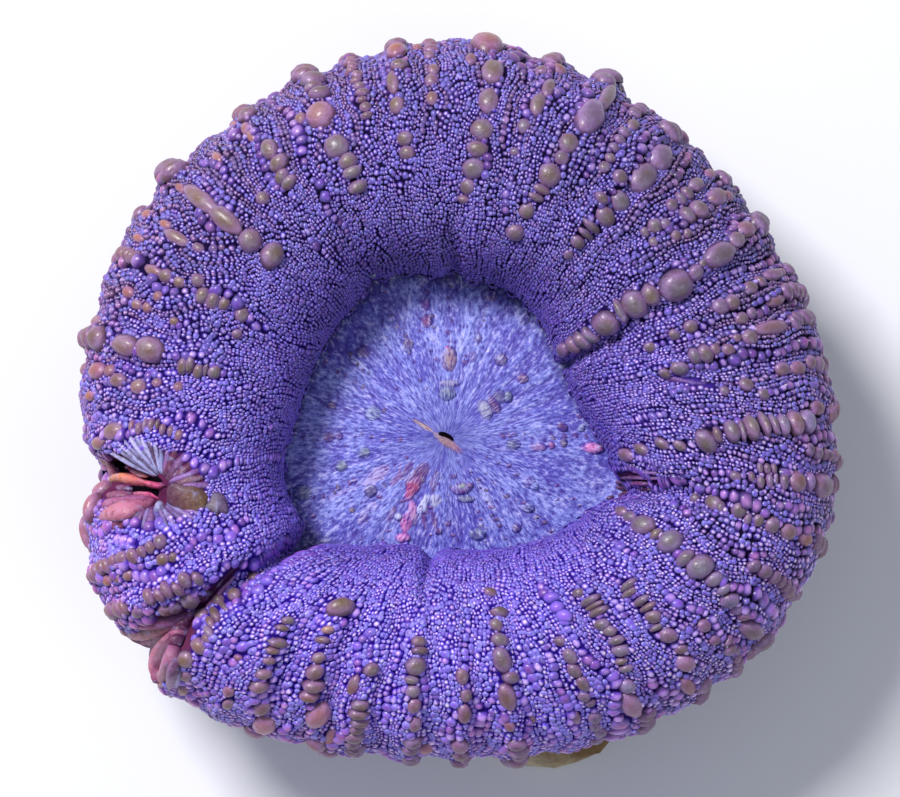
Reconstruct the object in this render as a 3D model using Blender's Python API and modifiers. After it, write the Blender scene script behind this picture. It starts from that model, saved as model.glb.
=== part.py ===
"""A fleshy solitary reef coral: one inflated polyp seated on its short stony cup, which is cut flat underneath.

Lengths are in millimetres until a mesh is written, and angles are in degrees, counter-clockwise from +X.
Seen from above, +X is to the right and +Y is away from the viewer. The base stands on z = 0.
"""

import math

import bmesh
import bpy
import numpy as np
from mathutils import Matrix

MM = 0.001

# Mean ring of flesh, before its plan is made uneven
OUTER_RADIUS = 32.5
LIP_RADIUS = 13.0
EQUATOR_HEIGHT = 15.5
CREST_HEIGHT = 24.3
RING_RADIUS = (OUTER_RADIUS + LIP_RADIUS) / 2
RING_HALF_WIDTH = (OUTER_RADIUS - LIP_RADIUS) / 2
RING_HALF_HEIGHT = CREST_HEIGHT - EQUATOR_HEIGHT
UNDERCUT_ANGLE = 200.0
SKIRT_ANGLE = -56.0

# Plan of the polyp in sixteen equal directions from +X: its outer edge from the origin, its lip from PIT_CENTRE
OUTLINE = (32.4, 30.6, 29.9, 30.1, 31.0, 30.7, 31.1, 32.0, 32.6, 34.9, 35.6, 32.6, 31.3, 32.3, 33.6, 34.0)
LIP = (11.4, 10.3, 11.1, 11.8, 11.6, 13.0, 12.6, 12.6, 13.4, 15.8, 15.9, 12.7, 12.2, 13.0, 14.4, 15.2)
PIT_CENTRE = (-0.5, -1.3)
MOUTH = (-0.9, -3.6)

# Oral disc
DISC_RISE = 1.1
DISC_RIDGES = 24
DISC_RIDGE_HEIGHT = 0.22
MOUTH_RADIUS = 0.9
MOUTH_DEPTH = 1.7
MOUTH_ANGLE = -34.0
MOUTH_STRETCH = 1.45

# Stony cup: its side from the rim down to the cut, then what hides under the flesh
BASE_RADIUS = 21.5
MARGIN_HEIGHT = 7.0
RIM_RADIUS = 24.6
RIM_HEIGHT = 11.2
CALICE_RADIUS = 14.0
CALICE_HEIGHT = 8.7
SEAT_GAP = 0.4
COSTAE = 48
COSTA_DEPTH = 0.7

# Broken ledges of the base: direction, half-width in degrees, reach and height
LEDGES = (
    (-78.0, 46.0, 5.4, 6.8),
    (-73.0, 17.0, 7.0, 4.6),
    (-128.0, 16.0, 2.6, 4.4),
    (168.0, 26.0, 3.0, 5.0),
    (112.0, 18.0, 2.0, 3.6),
    (34.0, 24.0, 2.6, 4.8),
    (-22.0, 17.0, 2.2, 3.4),
)

LEDGE_SQUARENESS = 2.6

# Folds in the flesh: direction at the lip and at the outer edge, half-width in degrees, depth, and the
# stretch of the ring they cross, from 0 at the lip to 1 at the outer edge
FOLDS = {
    "lower_left": (-137.5, -140.5, 3.4, 2.7, -0.10, 1.20),
    "side_mouth": (-163.5, -163.5, 2.9, 3.4, 0.60, 1.10),
    "side_mouth_dimple": (-163.5, -163.5, 8.5, 1.3, 0.50, 1.15),
    "lower_right": (-26.0, -14.0, 4.0, 1.9, -0.10, 0.50),
    "front_notch": (-98.0, -97.0, 3.0, 1.1, -0.10, 0.30),
    "back_notch": (89.0, 91.0, 3.6, 0.9, -0.10, 0.45),
    "back_left_notch": (121.0, 122.0, 3.6, 0.6, -0.10, 0.35),
    "under_long_row": (21.5, 20.0, 3.2, 1.0, -0.10, 0.30),
}

# Slow swells of the crest: waves round the ring, height and phase
SWELLS = ((2, 0.45, 200.0), (3, 0.40, 75.0), (5, 0.30, 10.0), (9, 0.16, 130.0))

# Rows of bladders: direction and radius of the inner end, of the outer end, then diameters at the inner
# end, in the middle and at the outer end, and how far apart they stand in diameters
BLADDER_ROWS = {
    "back_left_long": (142.3, 20.6, 142.6, 29.2, 2.0, 2.3, 2.9, 1.00),
    "left_upper_single": (150.4, 27.4, 150.4, 30.2, 1.7, 2.0, 1.6, 1.10),
    "left_upper": (158.8, 20.0, 157.9, 30.6, 1.2, 1.5, 1.4, 1.10),
    "left": (174.4, 21.3, 171.0, 31.4, 1.5, 2.1, 1.9, 1.05),
    "left_lower": (178.0, 27.0, 176.0, 32.2, 1.3, 1.6, 1.5, 1.10),
    "back_left": (128.3, 23.2, 127.5, 30.2, 1.6, 1.8, 1.4, 1.00),
    "back_left_large": (114.6, 19.4, 116.0, 30.4, 1.5, 1.9, 2.5, 1.00),
    "back_left_small": (108.2, 24.0, 108.2, 30.2, 1.1, 1.2, 1.3, 1.10),
    "back_olive": (102.0, 21.8, 99.6, 30.8, 1.4, 1.4, 1.6, 1.35),
    "back_small": (94.7, 24.2, 94.5, 30.8, 1.1, 1.3, 1.4, 1.20),
    "back_large": (87.3, 18.2, 85.0, 31.0, 1.5, 2.1, 2.6, 1.00),
    "back_right_small": (76.1, 24.0, 72.7, 30.2, 1.3, 1.7, 1.6, 1.05),
    "back_right_large": (70.0, 17.1, 63.6, 29.8, 1.5, 2.1, 2.7, 1.00),
    "back_right_fine": (57.7, 23.6, 57.0, 29.6, 1.1, 1.3, 1.4, 1.00),
    "right_upper_large": (52.2, 16.8, 49.7, 29.8, 1.2, 2.3, 1.9, 0.98),
    "right_upper_fine": (40.6, 21.7, 39.0, 29.8, 1.2, 1.5, 1.5, 1.05),
    "long_right": (23.4, 11.8, 30.0, 29.8, 1.5, 2.6, 1.8, 0.95),
    "right_fine": (18.6, 24.3, 20.9, 30.8, 1.2, 1.4, 1.5, 1.05),
    "right_pair": (16.8, 27.0, 15.8, 31.0, 1.3, 1.5, 1.5, 1.10),
    "right_single": (10.9, 24.0, 12.1, 30.8, 1.2, 1.6, 1.7, 1.10),
    "right_inner": (5.0, 16.7, 9.6, 22.6, 1.3, 1.6, 1.3, 1.10),
    "right_edge": (4.7, 27.5, 4.7, 31.8, 1.2, 1.4, 1.4, 1.15),
    "right": (-13.6, 18.6, -2.1, 31.8, 1.1, 1.7, 1.8, 1.00),
    "right_low_edge": (-10.1, 30.0, -10.1, 33.4, 1.1, 1.2, 1.2, 1.15),
    "right_lower_fine": (-15.1, 26.5, -13.6, 33.8, 1.1, 1.6, 1.7, 1.00),
    "right_lower": (-22.5, 22.5, -23.3, 33.6, 1.3, 1.7, 2.0, 1.00),
    "front_right_edge": (-31.0, 29.0, -31.0, 33.8, 1.3, 1.4, 1.4, 1.20),
    "front_right_long": (-34.0, 17.6, -40.4, 33.6, 1.4, 2.5, 2.3, 0.95),
    "front_right_small": (-42.5, 28.4, -45.0, 33.4, 1.1, 1.2, 1.3, 1.05),
    "front_right": (-47.6, 21.6, -51.2, 32.6, 1.3, 1.7, 2.0, 1.00),
    "front_right_inner": (-57.2, 20.5, -60.8, 32.0, 1.4, 1.7, 1.9, 0.95),
    "front_single": (-67.4, 23.0, -68.0, 31.6, 1.3, 1.2, 1.4, 1.40),
    "front": (-79.5, 19.5, -81.2, 31.4, 1.3, 1.7, 1.9, 1.00),
    "front_middle": (-88.8, 24.0, -89.5, 31.2, 1.2, 1.4, 1.5, 1.10),
    "front_left": (-98.8, 21.6, -97.0, 31.2, 1.4, 1.8, 1.6, 1.05),
    "front_left_short": (-107.0, 24.6, -105.8, 31.2, 1.4, 1.7, 1.5, 1.05),
    "front_left_pale": (-118.9, 21.3, -110.6, 31.8, 2.2, 1.6, 2.3, 1.05),
    "lower_left": (-127.0, 24.2, -120.4, 33.2, 1.2, 1.7, 2.1, 0.95),
    "lower_left_edge": (-138.0, 27.0, -134.4, 34.6, 1.4, 1.7, 1.6, 1.05),
    "flap": (-143.5, 27.0, -148.0, 33.8, 1.4, 1.5, 1.5, 1.10),
    "flap_edge": (-152.0, 28.0, -153.5, 33.4, 1.2, 1.4, 1.4, 1.20),
}
ROW_END_DROP = 14.0
EDGE_TURN = 40.0
RIDGE_HEIGHT_SHARE = 0.30
RIDGE_WIDTH_SHARE = 0.52
BLADDER_SINK_SHARE = 0.30
BLADDER_DIVISIONS = 2
LEAST_BLADDER = 2.1

# Hem of the flesh round the cup: waves and their height
HEM_WAVES = 19
HEM_HEIGHT = 0.45

# Mesh steps: the flesh is turned finely, then thinned to what its form needs
FLESH_TURN_STEPS = 540
RING_SECTION_STEPS = 116
FLESH_TRIANGLES = 4400
CUP_TURN_STEPS = 2 * COSTAE


def smooth_step(value, low, high):
    """0 below low, 1 above high, and a smooth rise between them."""
    t = np.clip((value - low) / (high - low), 0.0, 1.0)
    return t * t * (3 - 2 * t)


def angle_between(a, b):
    """Signed difference of two directions in degrees, from -180 to 180."""
    return (a - b + 180.0) % 360.0 - 180.0


def around(values, angle):
    """A value given in equal directions from +X, carried round the circle by a smooth closed curve."""
    count = len(values)
    place = (np.asarray(angle) % 360.0) / 360.0 * count
    first = np.floor(place).astype(int)
    t = place - first
    before, start, end, after = (np.take(values, (first + k) % count) for k in (-1, 0, 1, 2))
    slope_in = (end - before) / 2
    slope_out = (after - start) / 2
    return (
        start * (2 * t**3 - 3 * t**2 + 1)
        + slope_in * (t**3 - 2 * t**2 + t)
        + end * (3 * t**2 - 2 * t**3)
        + slope_out * (t**3 - t**2)
    )


def plan_point(angle, radius):
    """Where a point of the mean turned body lies in the uneven plan: x and y."""
    radians = np.radians(angle)
    east, north = np.cos(radians), np.sin(radians)
    lip_x = PIT_CENTRE[0] + around(LIP, angle) * east
    lip_y = PIT_CENTRE[1] + around(LIP, angle) * north
    edge_x, edge_y = around(OUTLINE, angle) * east, around(OUTLINE, angle) * north
    inside = np.clip(radius / LIP_RADIUS, 0.0, 1.0)
    across = np.clip((radius - LIP_RADIUS) / (OUTER_RADIUS - LIP_RADIUS), 0.0, None)
    from_mouth_x = MOUTH[0] + (lip_x - MOUTH[0]) * inside
    from_mouth_y = MOUTH[1] + (lip_y - MOUTH[1]) * inside
    return from_mouth_x + (edge_x - lip_x) * across, from_mouth_y + (edge_y - lip_y) * across


def swell(angle):
    """Rise and fall of the crest round the ring."""
    return sum(high * np.cos(np.radians(waves * angle + phase)) for waves, high, phase in SWELLS)


def fold_depth(angle, across):
    """How far the folds pull the flesh in, for a direction and a place across the ring."""
    depth = np.zeros_like(angle)
    for lip_angle, edge_angle, half_width, deep, start, end in FOLDS.values():
        line = lip_angle + (edge_angle - lip_angle) * np.clip(across, 0.0, 1.0)
        off_line = angle_between(angle, line) / half_width
        ends = smooth_step(across, start - 0.08, start + 0.10) * smooth_step(-across, -end - 0.08, -end + 0.10)
        depth += deep * np.exp(-(off_line**2)) * ends
    return depth


def flesh_section():
    """Half section of the polyp from the mouth, over the ring and under it to the middle: radius, height."""
    turn = np.radians(np.linspace(UNDERCUT_ANGLE, SKIRT_ANGLE, RING_SECTION_STEPS))
    ring = [
        (RING_RADIUS + RING_HALF_WIDTH * math.cos(a), EQUATOR_HEIGHT + RING_HALF_HEIGHT * math.sin(a))
        for a in turn
    ]
    disc_edge_radius, disc_edge_height = ring[0]
    radii = (MOUTH_RADIUS, MOUTH_RADIUS * 1.6, 2.4, 3.6, 5.0, 6.5, 8.0, 9.5, 11.0, 12.4)
    disc = [(0.0, disc_edge_height + DISC_RISE - MOUTH_DEPTH), (MOUTH_RADIUS * 0.6, disc_edge_height + DISC_RISE - 1.1)]
    for radius in radii:
        rise = DISC_RISE * (1 - (radius / disc_edge_radius) ** 2)
        disc.append((radius, disc_edge_height + rise))
    seat = [
        (25.4, MARGIN_HEIGHT + 0.15),
        (24.2, MARGIN_HEIGHT),
        (cup_side_radius(MARGIN_HEIGHT) + SEAT_GAP + 0.25, MARGIN_HEIGHT + 0.15),
        (cup_side_radius(MARGIN_HEIGHT + 1.0) + SEAT_GAP, MARGIN_HEIGHT + 1.0),
        (RIM_RADIUS + SEAT_GAP, RIM_HEIGHT - 0.5),
        (RIM_RADIUS - 0.2, RIM_HEIGHT + SEAT_GAP),
        (CALICE_RADIUS, CALICE_HEIGHT + SEAT_GAP),
        (7.0, CALICE_HEIGHT + SEAT_GAP),
        (0.0, CALICE_HEIGHT + SEAT_GAP),
    ]
    return disc + ring + seat


def cup_side_radius(height):
    """The cup's side flares from its cut to its rim."""
    share = np.clip(height / RIM_HEIGHT, 0.0, 1.0)
    return BASE_RADIUS + (RIM_RADIUS - BASE_RADIUS) * share**1.3


def cup_section():
    """Half section of the stony cup from the middle of its calice, over the rim and down to the cut."""
    side = [(float(cup_side_radius(h)), h) for h in (RIM_HEIGHT - 0.6, 8.0, 6.6, 5.2, 4.0, 2.8, 1.6, 0.4)]
    calice = [(0.0, CALICE_HEIGHT), (7.0, CALICE_HEIGHT), (CALICE_RADIUS, CALICE_HEIGHT), (RIM_RADIUS - 0.7, RIM_HEIGHT)]
    cut = [(BASE_RADIUS - 0.4, 0.0), (BASE_RADIUS / 2, 0.0), (0.0, 0.0)]
    return calice + side + cut


def turned(name, section, steps):
    """The section turned once about Z, as a mesh of its own."""
    profile = bpy.data.meshes.new(name)
    points = [(radius * MM, 0.0, height * MM) for radius, height in section]
    profile.from_pydata(points, [(i, i + 1) for i in range(len(points) - 1)], [])
    obj = bpy.data.objects.new(name, profile)
    bpy.context.scene.collection.objects.link(obj)
    screw = obj.modifiers.new("Turn", "SCREW")
    screw.axis = "Z"
    screw.angle = math.tau
    screw.steps = steps
    screw.render_steps = steps
    screw.use_merge_vertices = True
    screw.merge_threshold = 0.00001
    graph = bpy.context.evaluated_depsgraph_get()
    obj.data = bpy.data.meshes.new_from_object(obj.evaluated_get(graph))
    obj.modifiers.clear()
    bpy.data.meshes.remove(profile)
    return obj


def vertex_array(mesh):
    """The mesh's points in millimetres."""
    flat = np.empty(len(mesh.vertices) * 3)
    mesh.vertices.foreach_get("co", flat)
    return flat.reshape(-1, 3) / MM


def set_vertex_array(mesh, points):
    mesh.vertices.foreach_set("co", (points * MM).ravel())
    mesh.update()


def shaped_flesh(points):
    """The mean turned polyp made uneven: folds, swells, disc ridges, the mouth, and the plan of the real one."""
    x, y, z = points.T
    radius = np.hypot(x, y)
    angle = np.degrees(np.arctan2(y, x))
    east, north = np.cos(np.radians(angle)), np.sin(np.radians(angle))

    # Rows raise the ring's skin from the middle of its section, and folds pull it in
    out = (radius - RING_RADIUS) / RING_HALF_WIDTH
    up = (z - EQUATOR_HEIGHT) / RING_HALF_HEIGHT
    on_ring = smooth_step(-np.hypot(out, up), -1.08, -1.01) * smooth_step(z, 9.5, 13.0)
    on_ring *= smooth_step(np.hypot(out, up), 0.90, 0.98)
    turn = np.degrees(np.arctan2(up, out))
    push = (ridge_height(angle, turn) - fold_depth(angle, (1 + out) / 2)) * on_ring / RING_HALF_WIDTH
    radius = radius + (radius - RING_RADIUS) * push
    z = z + (z - EQUATOR_HEIGHT) * push

    # The crest swells, the hem hangs unevenly, and the disc carries low radial ridges
    hem = smooth_step(radius, 24.4, 26.4) * smooth_step(-z, -9.5, -7.5)
    z = z + swell(angle) * smooth_step(z, 16.0, 23.0)
    z = z + HEM_HEIGHT * np.cos(np.radians(HEM_WAVES * angle + 90 * np.sin(np.radians(2 * angle)))) * hem
    on_disc = (radius < LIP_RADIUS - 0.2) & (z > RIM_HEIGHT)
    ridge_reach = smooth_step(radius, 2.2, 5.0) * smooth_step(-radius, -LIP_RADIUS, -LIP_RADIUS + 1.6)
    z = z + on_disc * DISC_RIDGE_HEIGHT * np.cos(np.radians(DISC_RIDGES * angle)) * ridge_reach

    # Plan, with the mouth drawn out into a slit
    plan_x, plan_y = plan_point(angle, radius)
    slit = math.radians(MOUTH_ANGLE)
    near = 1 - smooth_step(radius, 0.0, 3.2)
    off_x, off_y = plan_x - MOUTH[0], plan_y - MOUTH[1]
    along = off_x * math.cos(slit) + off_y * math.sin(slit)
    beside = off_y * math.cos(slit) - off_x * math.sin(slit)
    along = along * (1 + (MOUTH_STRETCH - 1) * near * on_disc)
    beside = beside * (1 - (1 - 1 / MOUTH_STRETCH) * near * on_disc)
    plan_x = MOUTH[0] + along * math.cos(slit) - beside * math.sin(slit)
    plan_y = MOUTH[1] + along * math.sin(slit) + beside * math.cos(slit)
    return np.column_stack([plan_x, plan_y, z])


def shaped_cup(points):
    """The turned cup with its costae, its broken ledges and the same plan as the flesh."""
    x, y, z = points.T
    radius = np.hypot(x, y)
    angle = np.degrees(np.arctan2(y, x))
    on_side = smooth_step(radius, BASE_RADIUS - 1.0, BASE_RADIUS - 0.3)
    low = smooth_step(z, 0.2, 1.2) * smooth_step(-z, -MARGIN_HEIGHT - 1.5, -MARGIN_HEIGHT + 0.5)
    radius = radius - COSTA_DEPTH * (1 - np.cos(np.radians(COSTAE * angle))) / 2 * on_side * low
    for direction, half_width, reach, height in LEDGES:
        beside = np.exp(-(np.abs(angle_between(angle, direction) / half_width) ** LEDGE_SQUARENESS))
        radius = radius + reach * beside * smooth_step(-z, -height, -height * 0.3) * on_side
    plan_x, plan_y = plan_point(angle, radius)
    return np.column_stack([plan_x, plan_y, z])


def ring_place(direction, distance):
    """The place on the mean ring under a plan point given from the origin: its direction and section angle."""
    angles, across = np.meshgrid(direction + np.linspace(-24, 24, 193), np.linspace(0.0, 1.0, 101))
    plan_x, plan_y = plan_point(angles, LIP_RADIUS + across * (OUTER_RADIUS - LIP_RADIUS))
    radians = math.radians(direction)
    miss = np.hypot(plan_x - distance * math.cos(radians), plan_y - distance * math.sin(radians))
    best = np.unravel_index(np.argmin(miss), miss.shape)
    return angles[best], math.degrees(math.acos(2 * across[best] - 1))


def laid_rows():
    """Each row on the mean ring: direction and section angle at its two ends, its three diameters and spacing."""
    rows = []
    for in_direction, in_radius, out_direction, out_radius, first, middle, last, apart in BLADDER_ROWS.values():
        start_angle, start_turn = ring_place(in_direction, in_radius)
        end_angle, end_turn = ring_place(out_direction, out_radius)
        if end_turn < EDGE_TURN:
            end_turn = min(end_turn, EDGE_TURN / 2) - ROW_END_DROP
        rows.append((start_angle, start_turn, end_angle, end_turn, (first, middle, last), apart))
    return rows


def row_size(sizes, share):
    """Diameter along a row, from its inner end at 0 to its outer end at 1."""
    return np.interp(share, (0.0, 0.5, 1.0), sizes)


def ridge_height(angle, turn):
    """How far the rows raise the skin, for a direction and a section angle."""
    height = np.zeros_like(angle)
    for start_angle, start_turn, end_angle, end_turn, sizes, _ in ROWS:
        share = (start_turn - turn) / (start_turn - end_turn)
        line = start_angle + (end_angle - start_angle) * np.clip(share, 0.0, 1.0)
        size = row_size(sizes, share)
        radius = RING_RADIUS + RING_HALF_WIDTH * np.cos(np.radians(turn))
        beside = np.radians(angle_between(angle, line)) * radius / (size * RIDGE_WIDTH_SHARE)
        ends = smooth_step(share, -0.08, 0.06) * smooth_step(-share, -1.08, -0.94)
        height = np.maximum(height, RIDGE_HEIGHT_SHARE * size * np.exp(-(beside**2)) * ends)
    return height


def bladder_places():
    """The larger bladders: direction and section angle on the mean ring, and diameter."""
    places = []
    for start_angle, start_turn, end_angle, end_turn, sizes, apart in ROWS:
        turn = start_turn
        while turn > end_turn:
            share = (start_turn - turn) / (start_turn - end_turn)
            size = row_size(sizes, share) * (1 + 0.10 * math.sin(12.9 * share + start_angle))
            if size >= LEAST_BLADDER:
                places.append((start_angle + (end_angle - start_angle) * share, turn, size))
            turn -= math.degrees(size * apart / RING_HALF_WIDTH)
    return places


def skin_point(angle, turn):
    """A point of the ring's skin, from its direction and section angle on the mean ring."""
    radius = RING_RADIUS + RING_HALF_WIDTH * math.cos(math.radians(turn))
    height = EQUATOR_HEIGHT + RING_HALF_HEIGHT * math.sin(math.radians(turn))
    east, north = math.cos(math.radians(angle)), math.sin(math.radians(angle))
    return shaped_flesh(np.array([[radius * east, radius * north, height]]))[0]


def make_bladders():
    """The larger bladders as balls sunk in the skin, in a hidden collection of their own."""
    balls = bpy.data.collections.new("bladders")
    bpy.context.scene.collection.children.link(balls)
    for angle, turn, size in bladder_places():
        skin = skin_point(angle, turn)
        inward = np.cross(skin_point(angle + 0.5, turn) - skin, skin_point(angle, turn - 0.5) - skin)
        centre = skin + inward / np.linalg.norm(inward) * BLADDER_SINK_SHARE * size
        form = bmesh.new()
        place = Matrix.Translation(centre * MM)
        bmesh.ops.create_icosphere(form, subdivisions=BLADDER_DIVISIONS, radius=size / 2 * MM, matrix=place)
        mesh = bpy.data.meshes.new("bladder")
        form.to_mesh(mesh)
        form.free()
        ball = bpy.data.objects.new("bladder", mesh)
        ball.hide_render = True
        ball.display_type = "WIRE"
        balls.objects.link(ball)
    balls.hide_render = True
    return balls


def joined(obj, balls):
    """The body with every ball made one with it."""
    union = obj.modifiers.new("Bladders", "BOOLEAN")
    union.operation = "UNION"
    union.operand_type = "COLLECTION"
    union.collection = balls
    union.solver = "EXACT"


def thinned(obj, triangles):
    """Fewer, larger faces where the form is plain."""
    count = sum(len(face.vertices) - 2 for face in obj.data.polygons)
    thin = obj.modifiers.new("Thin", "DECIMATE")
    thin.ratio = triangles / count
    thin.use_collapse_triangulate = True
    graph = bpy.context.evaluated_depsgraph_get()
    full = obj.data
    obj.data = bpy.data.meshes.new_from_object(obj.evaluated_get(graph))
    obj.modifiers.clear()
    bpy.data.meshes.remove(full)


def finish_material(name, colour, roughness):
    material = bpy.data.materials.new(name)
    material.use_nodes = True
    shader = material.node_tree.nodes["Principled BSDF"]
    shader.inputs["Base Color"].default_value = (*colour, 1.0)
    shader.inputs["Roughness"].default_value = roughness
    shader.inputs["Metallic"].default_value = 0.0
    return material


def make_polyp():
    obj = turned("polyp", flesh_section(), FLESH_TURN_STEPS)
    set_vertex_array(obj.data, shaped_flesh(vertex_array(obj.data)))
    thinned(obj, FLESH_TRIANGLES)
    joined(obj, make_bladders())
    obj.data.materials.append(finish_material("flesh", (0.22, 0.13, 0.45), 0.35))
    return obj


def make_cup():
    obj = turned("skeleton", cup_section(), CUP_TURN_STEPS)
    set_vertex_array(obj.data, shaped_cup(vertex_array(obj.data)))
    flatten_cut(obj.data)
    obj.data.materials.append(finish_material("stone", (0.62, 0.55, 0.44), 0.85))
    return obj


def flatten_cut(mesh):
    """The cut is one plane: its faces are merged into one and its points set on z = 0."""
    form = bmesh.new()
    form.from_mesh(mesh)
    for vertex in form.verts:
        if vertex.co.z < 0.00005:
            vertex.co.z = 0.0
    cut = [face for face in form.faces if all(vertex.co.z == 0.0 for vertex in face.verts)]
    bmesh.ops.dissolve_faces(form, faces=cut)
    bmesh.ops.triangulate(form, faces=[face for face in form.faces if len(face.verts) > 4])
    form.to_mesh(mesh)
    form.free()


ROWS = laid_rows()


def main():
    for obj in list(bpy.data.objects):
        bpy.data.objects.remove(obj)
    coral = bpy.data.collections.new("solitary_coral")
    bpy.context.scene.collection.children.link(coral)
    for obj in (make_polyp(), make_cup()):
        bpy.context.scene.collection.objects.unlink(obj)
        coral.objects.link(obj)


main()
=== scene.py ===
import math

import bpy
import numpy as np
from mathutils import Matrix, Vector


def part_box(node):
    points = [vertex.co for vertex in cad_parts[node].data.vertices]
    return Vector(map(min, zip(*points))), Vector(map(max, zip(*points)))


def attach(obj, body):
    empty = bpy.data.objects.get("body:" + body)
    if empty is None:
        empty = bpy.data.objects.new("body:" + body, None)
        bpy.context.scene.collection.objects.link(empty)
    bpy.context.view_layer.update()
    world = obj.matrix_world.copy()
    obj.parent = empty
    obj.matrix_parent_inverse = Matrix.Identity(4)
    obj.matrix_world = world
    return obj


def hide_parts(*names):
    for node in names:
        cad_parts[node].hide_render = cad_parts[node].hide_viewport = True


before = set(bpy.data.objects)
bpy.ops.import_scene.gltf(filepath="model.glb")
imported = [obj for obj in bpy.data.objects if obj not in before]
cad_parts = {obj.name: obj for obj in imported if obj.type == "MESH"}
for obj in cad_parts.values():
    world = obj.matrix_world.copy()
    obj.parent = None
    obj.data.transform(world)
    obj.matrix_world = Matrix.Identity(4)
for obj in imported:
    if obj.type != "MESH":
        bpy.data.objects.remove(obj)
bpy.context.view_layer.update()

mm = 0.001
dice = np.random.default_rng(41)   # one seeded source for every uneven thing here

# The camera, in millimetres and degrees. Places given in pixels below are those of its picture
studio = {
    "lookAt": (-0.6, -0.2, 15.5),
    "distance": 410.0,
    "elevation": 84.5,
    "pixelsPerMm": 11.47,
    "picture": (900, 797),
    "aim": (0.0, 0.0, 15.0),    # where the lights point
}

# The shape of the flesh, in millimetres and degrees, seen from above with +X to the right
flesh = {
    "outerRadius": 32.5,
    "lipRadius": 13.0,
    "equator": 15.5,            # height of the ring's widest line
    "crest": 24.3,
    "undercut": 200.0,          # section angle where the inner wall meets the disc
    "hem": -56.0,               # section angle where the flank ends
    # radii of the edge and of the lip, every 22.5 degrees from +X
    "outline": (32.4, 30.6, 29.9, 30.1, 31.0, 30.7, 31.1, 32.0,
                32.6, 34.9, 35.6, 32.6, 31.3, 32.3, 33.6, 34.0),
    "lip": (11.4, 10.3, 11.1, 11.8, 11.6, 13.0, 12.6, 12.6,
            13.4, 15.8, 15.9, 12.7, 12.2, 13.0, 14.4, 15.2),
    "pitCentre": (-0.5, -1.3),
    "mouth": (-0.9, -3.6),
    "discRise": 1.1,
    "swells": ((2, 0.45, 200.0), (3, 0.40, 75.0), (5, 0.30, 10.0), (9, 0.16, 130.0)),   # waves, height, phase
    "septa": 40,
    "septaHeight": 0.24,
    "hemWaves": 19,
    "hemHeight": 0.45,
    # direction at the lip and at the edge, half-width, depth, and the stretch of ring crossed
    "folds": {
        "lowerLeft": (-137.5, -140.5, 3.4, 2.7, -0.10, 1.20),
        "sideMouth": (-150.0, -168.5, 2.9, 3.4, 0.60, 1.10),
        "sideMouthDimple": (-158.0, -166.5, 8.5, 1.3, 0.50, 1.15),
        "lowerRight": (-26.0, -14.0, 4.0, 1.9, -0.10, 0.50),
        "frontNotch": (-98.0, -97.0, 3.0, 1.1, -0.10, 0.30),
        "backNotch": (89.0, 91.0, 3.6, 0.9, -0.10, 0.45),
        "backLeftNotch": (121.0, 122.0, 3.6, 0.6, -0.10, 0.35),
        "underLongRow": (21.5, 20.0, 3.2, 1.0, -0.10, 0.30),
    },
}
ringRadius = (flesh["outerRadius"] + flesh["lipRadius"]) / 2
halfWidth = (flesh["outerRadius"] - flesh["lipRadius"]) / 2
halfHeight = flesh["crest"] - flesh["equator"]
ringTurns = np.linspace(flesh["undercut"], flesh["hem"], 260)   # section angles round the ring
discSteps = 89                                                  # points of the section on the disc

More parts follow.
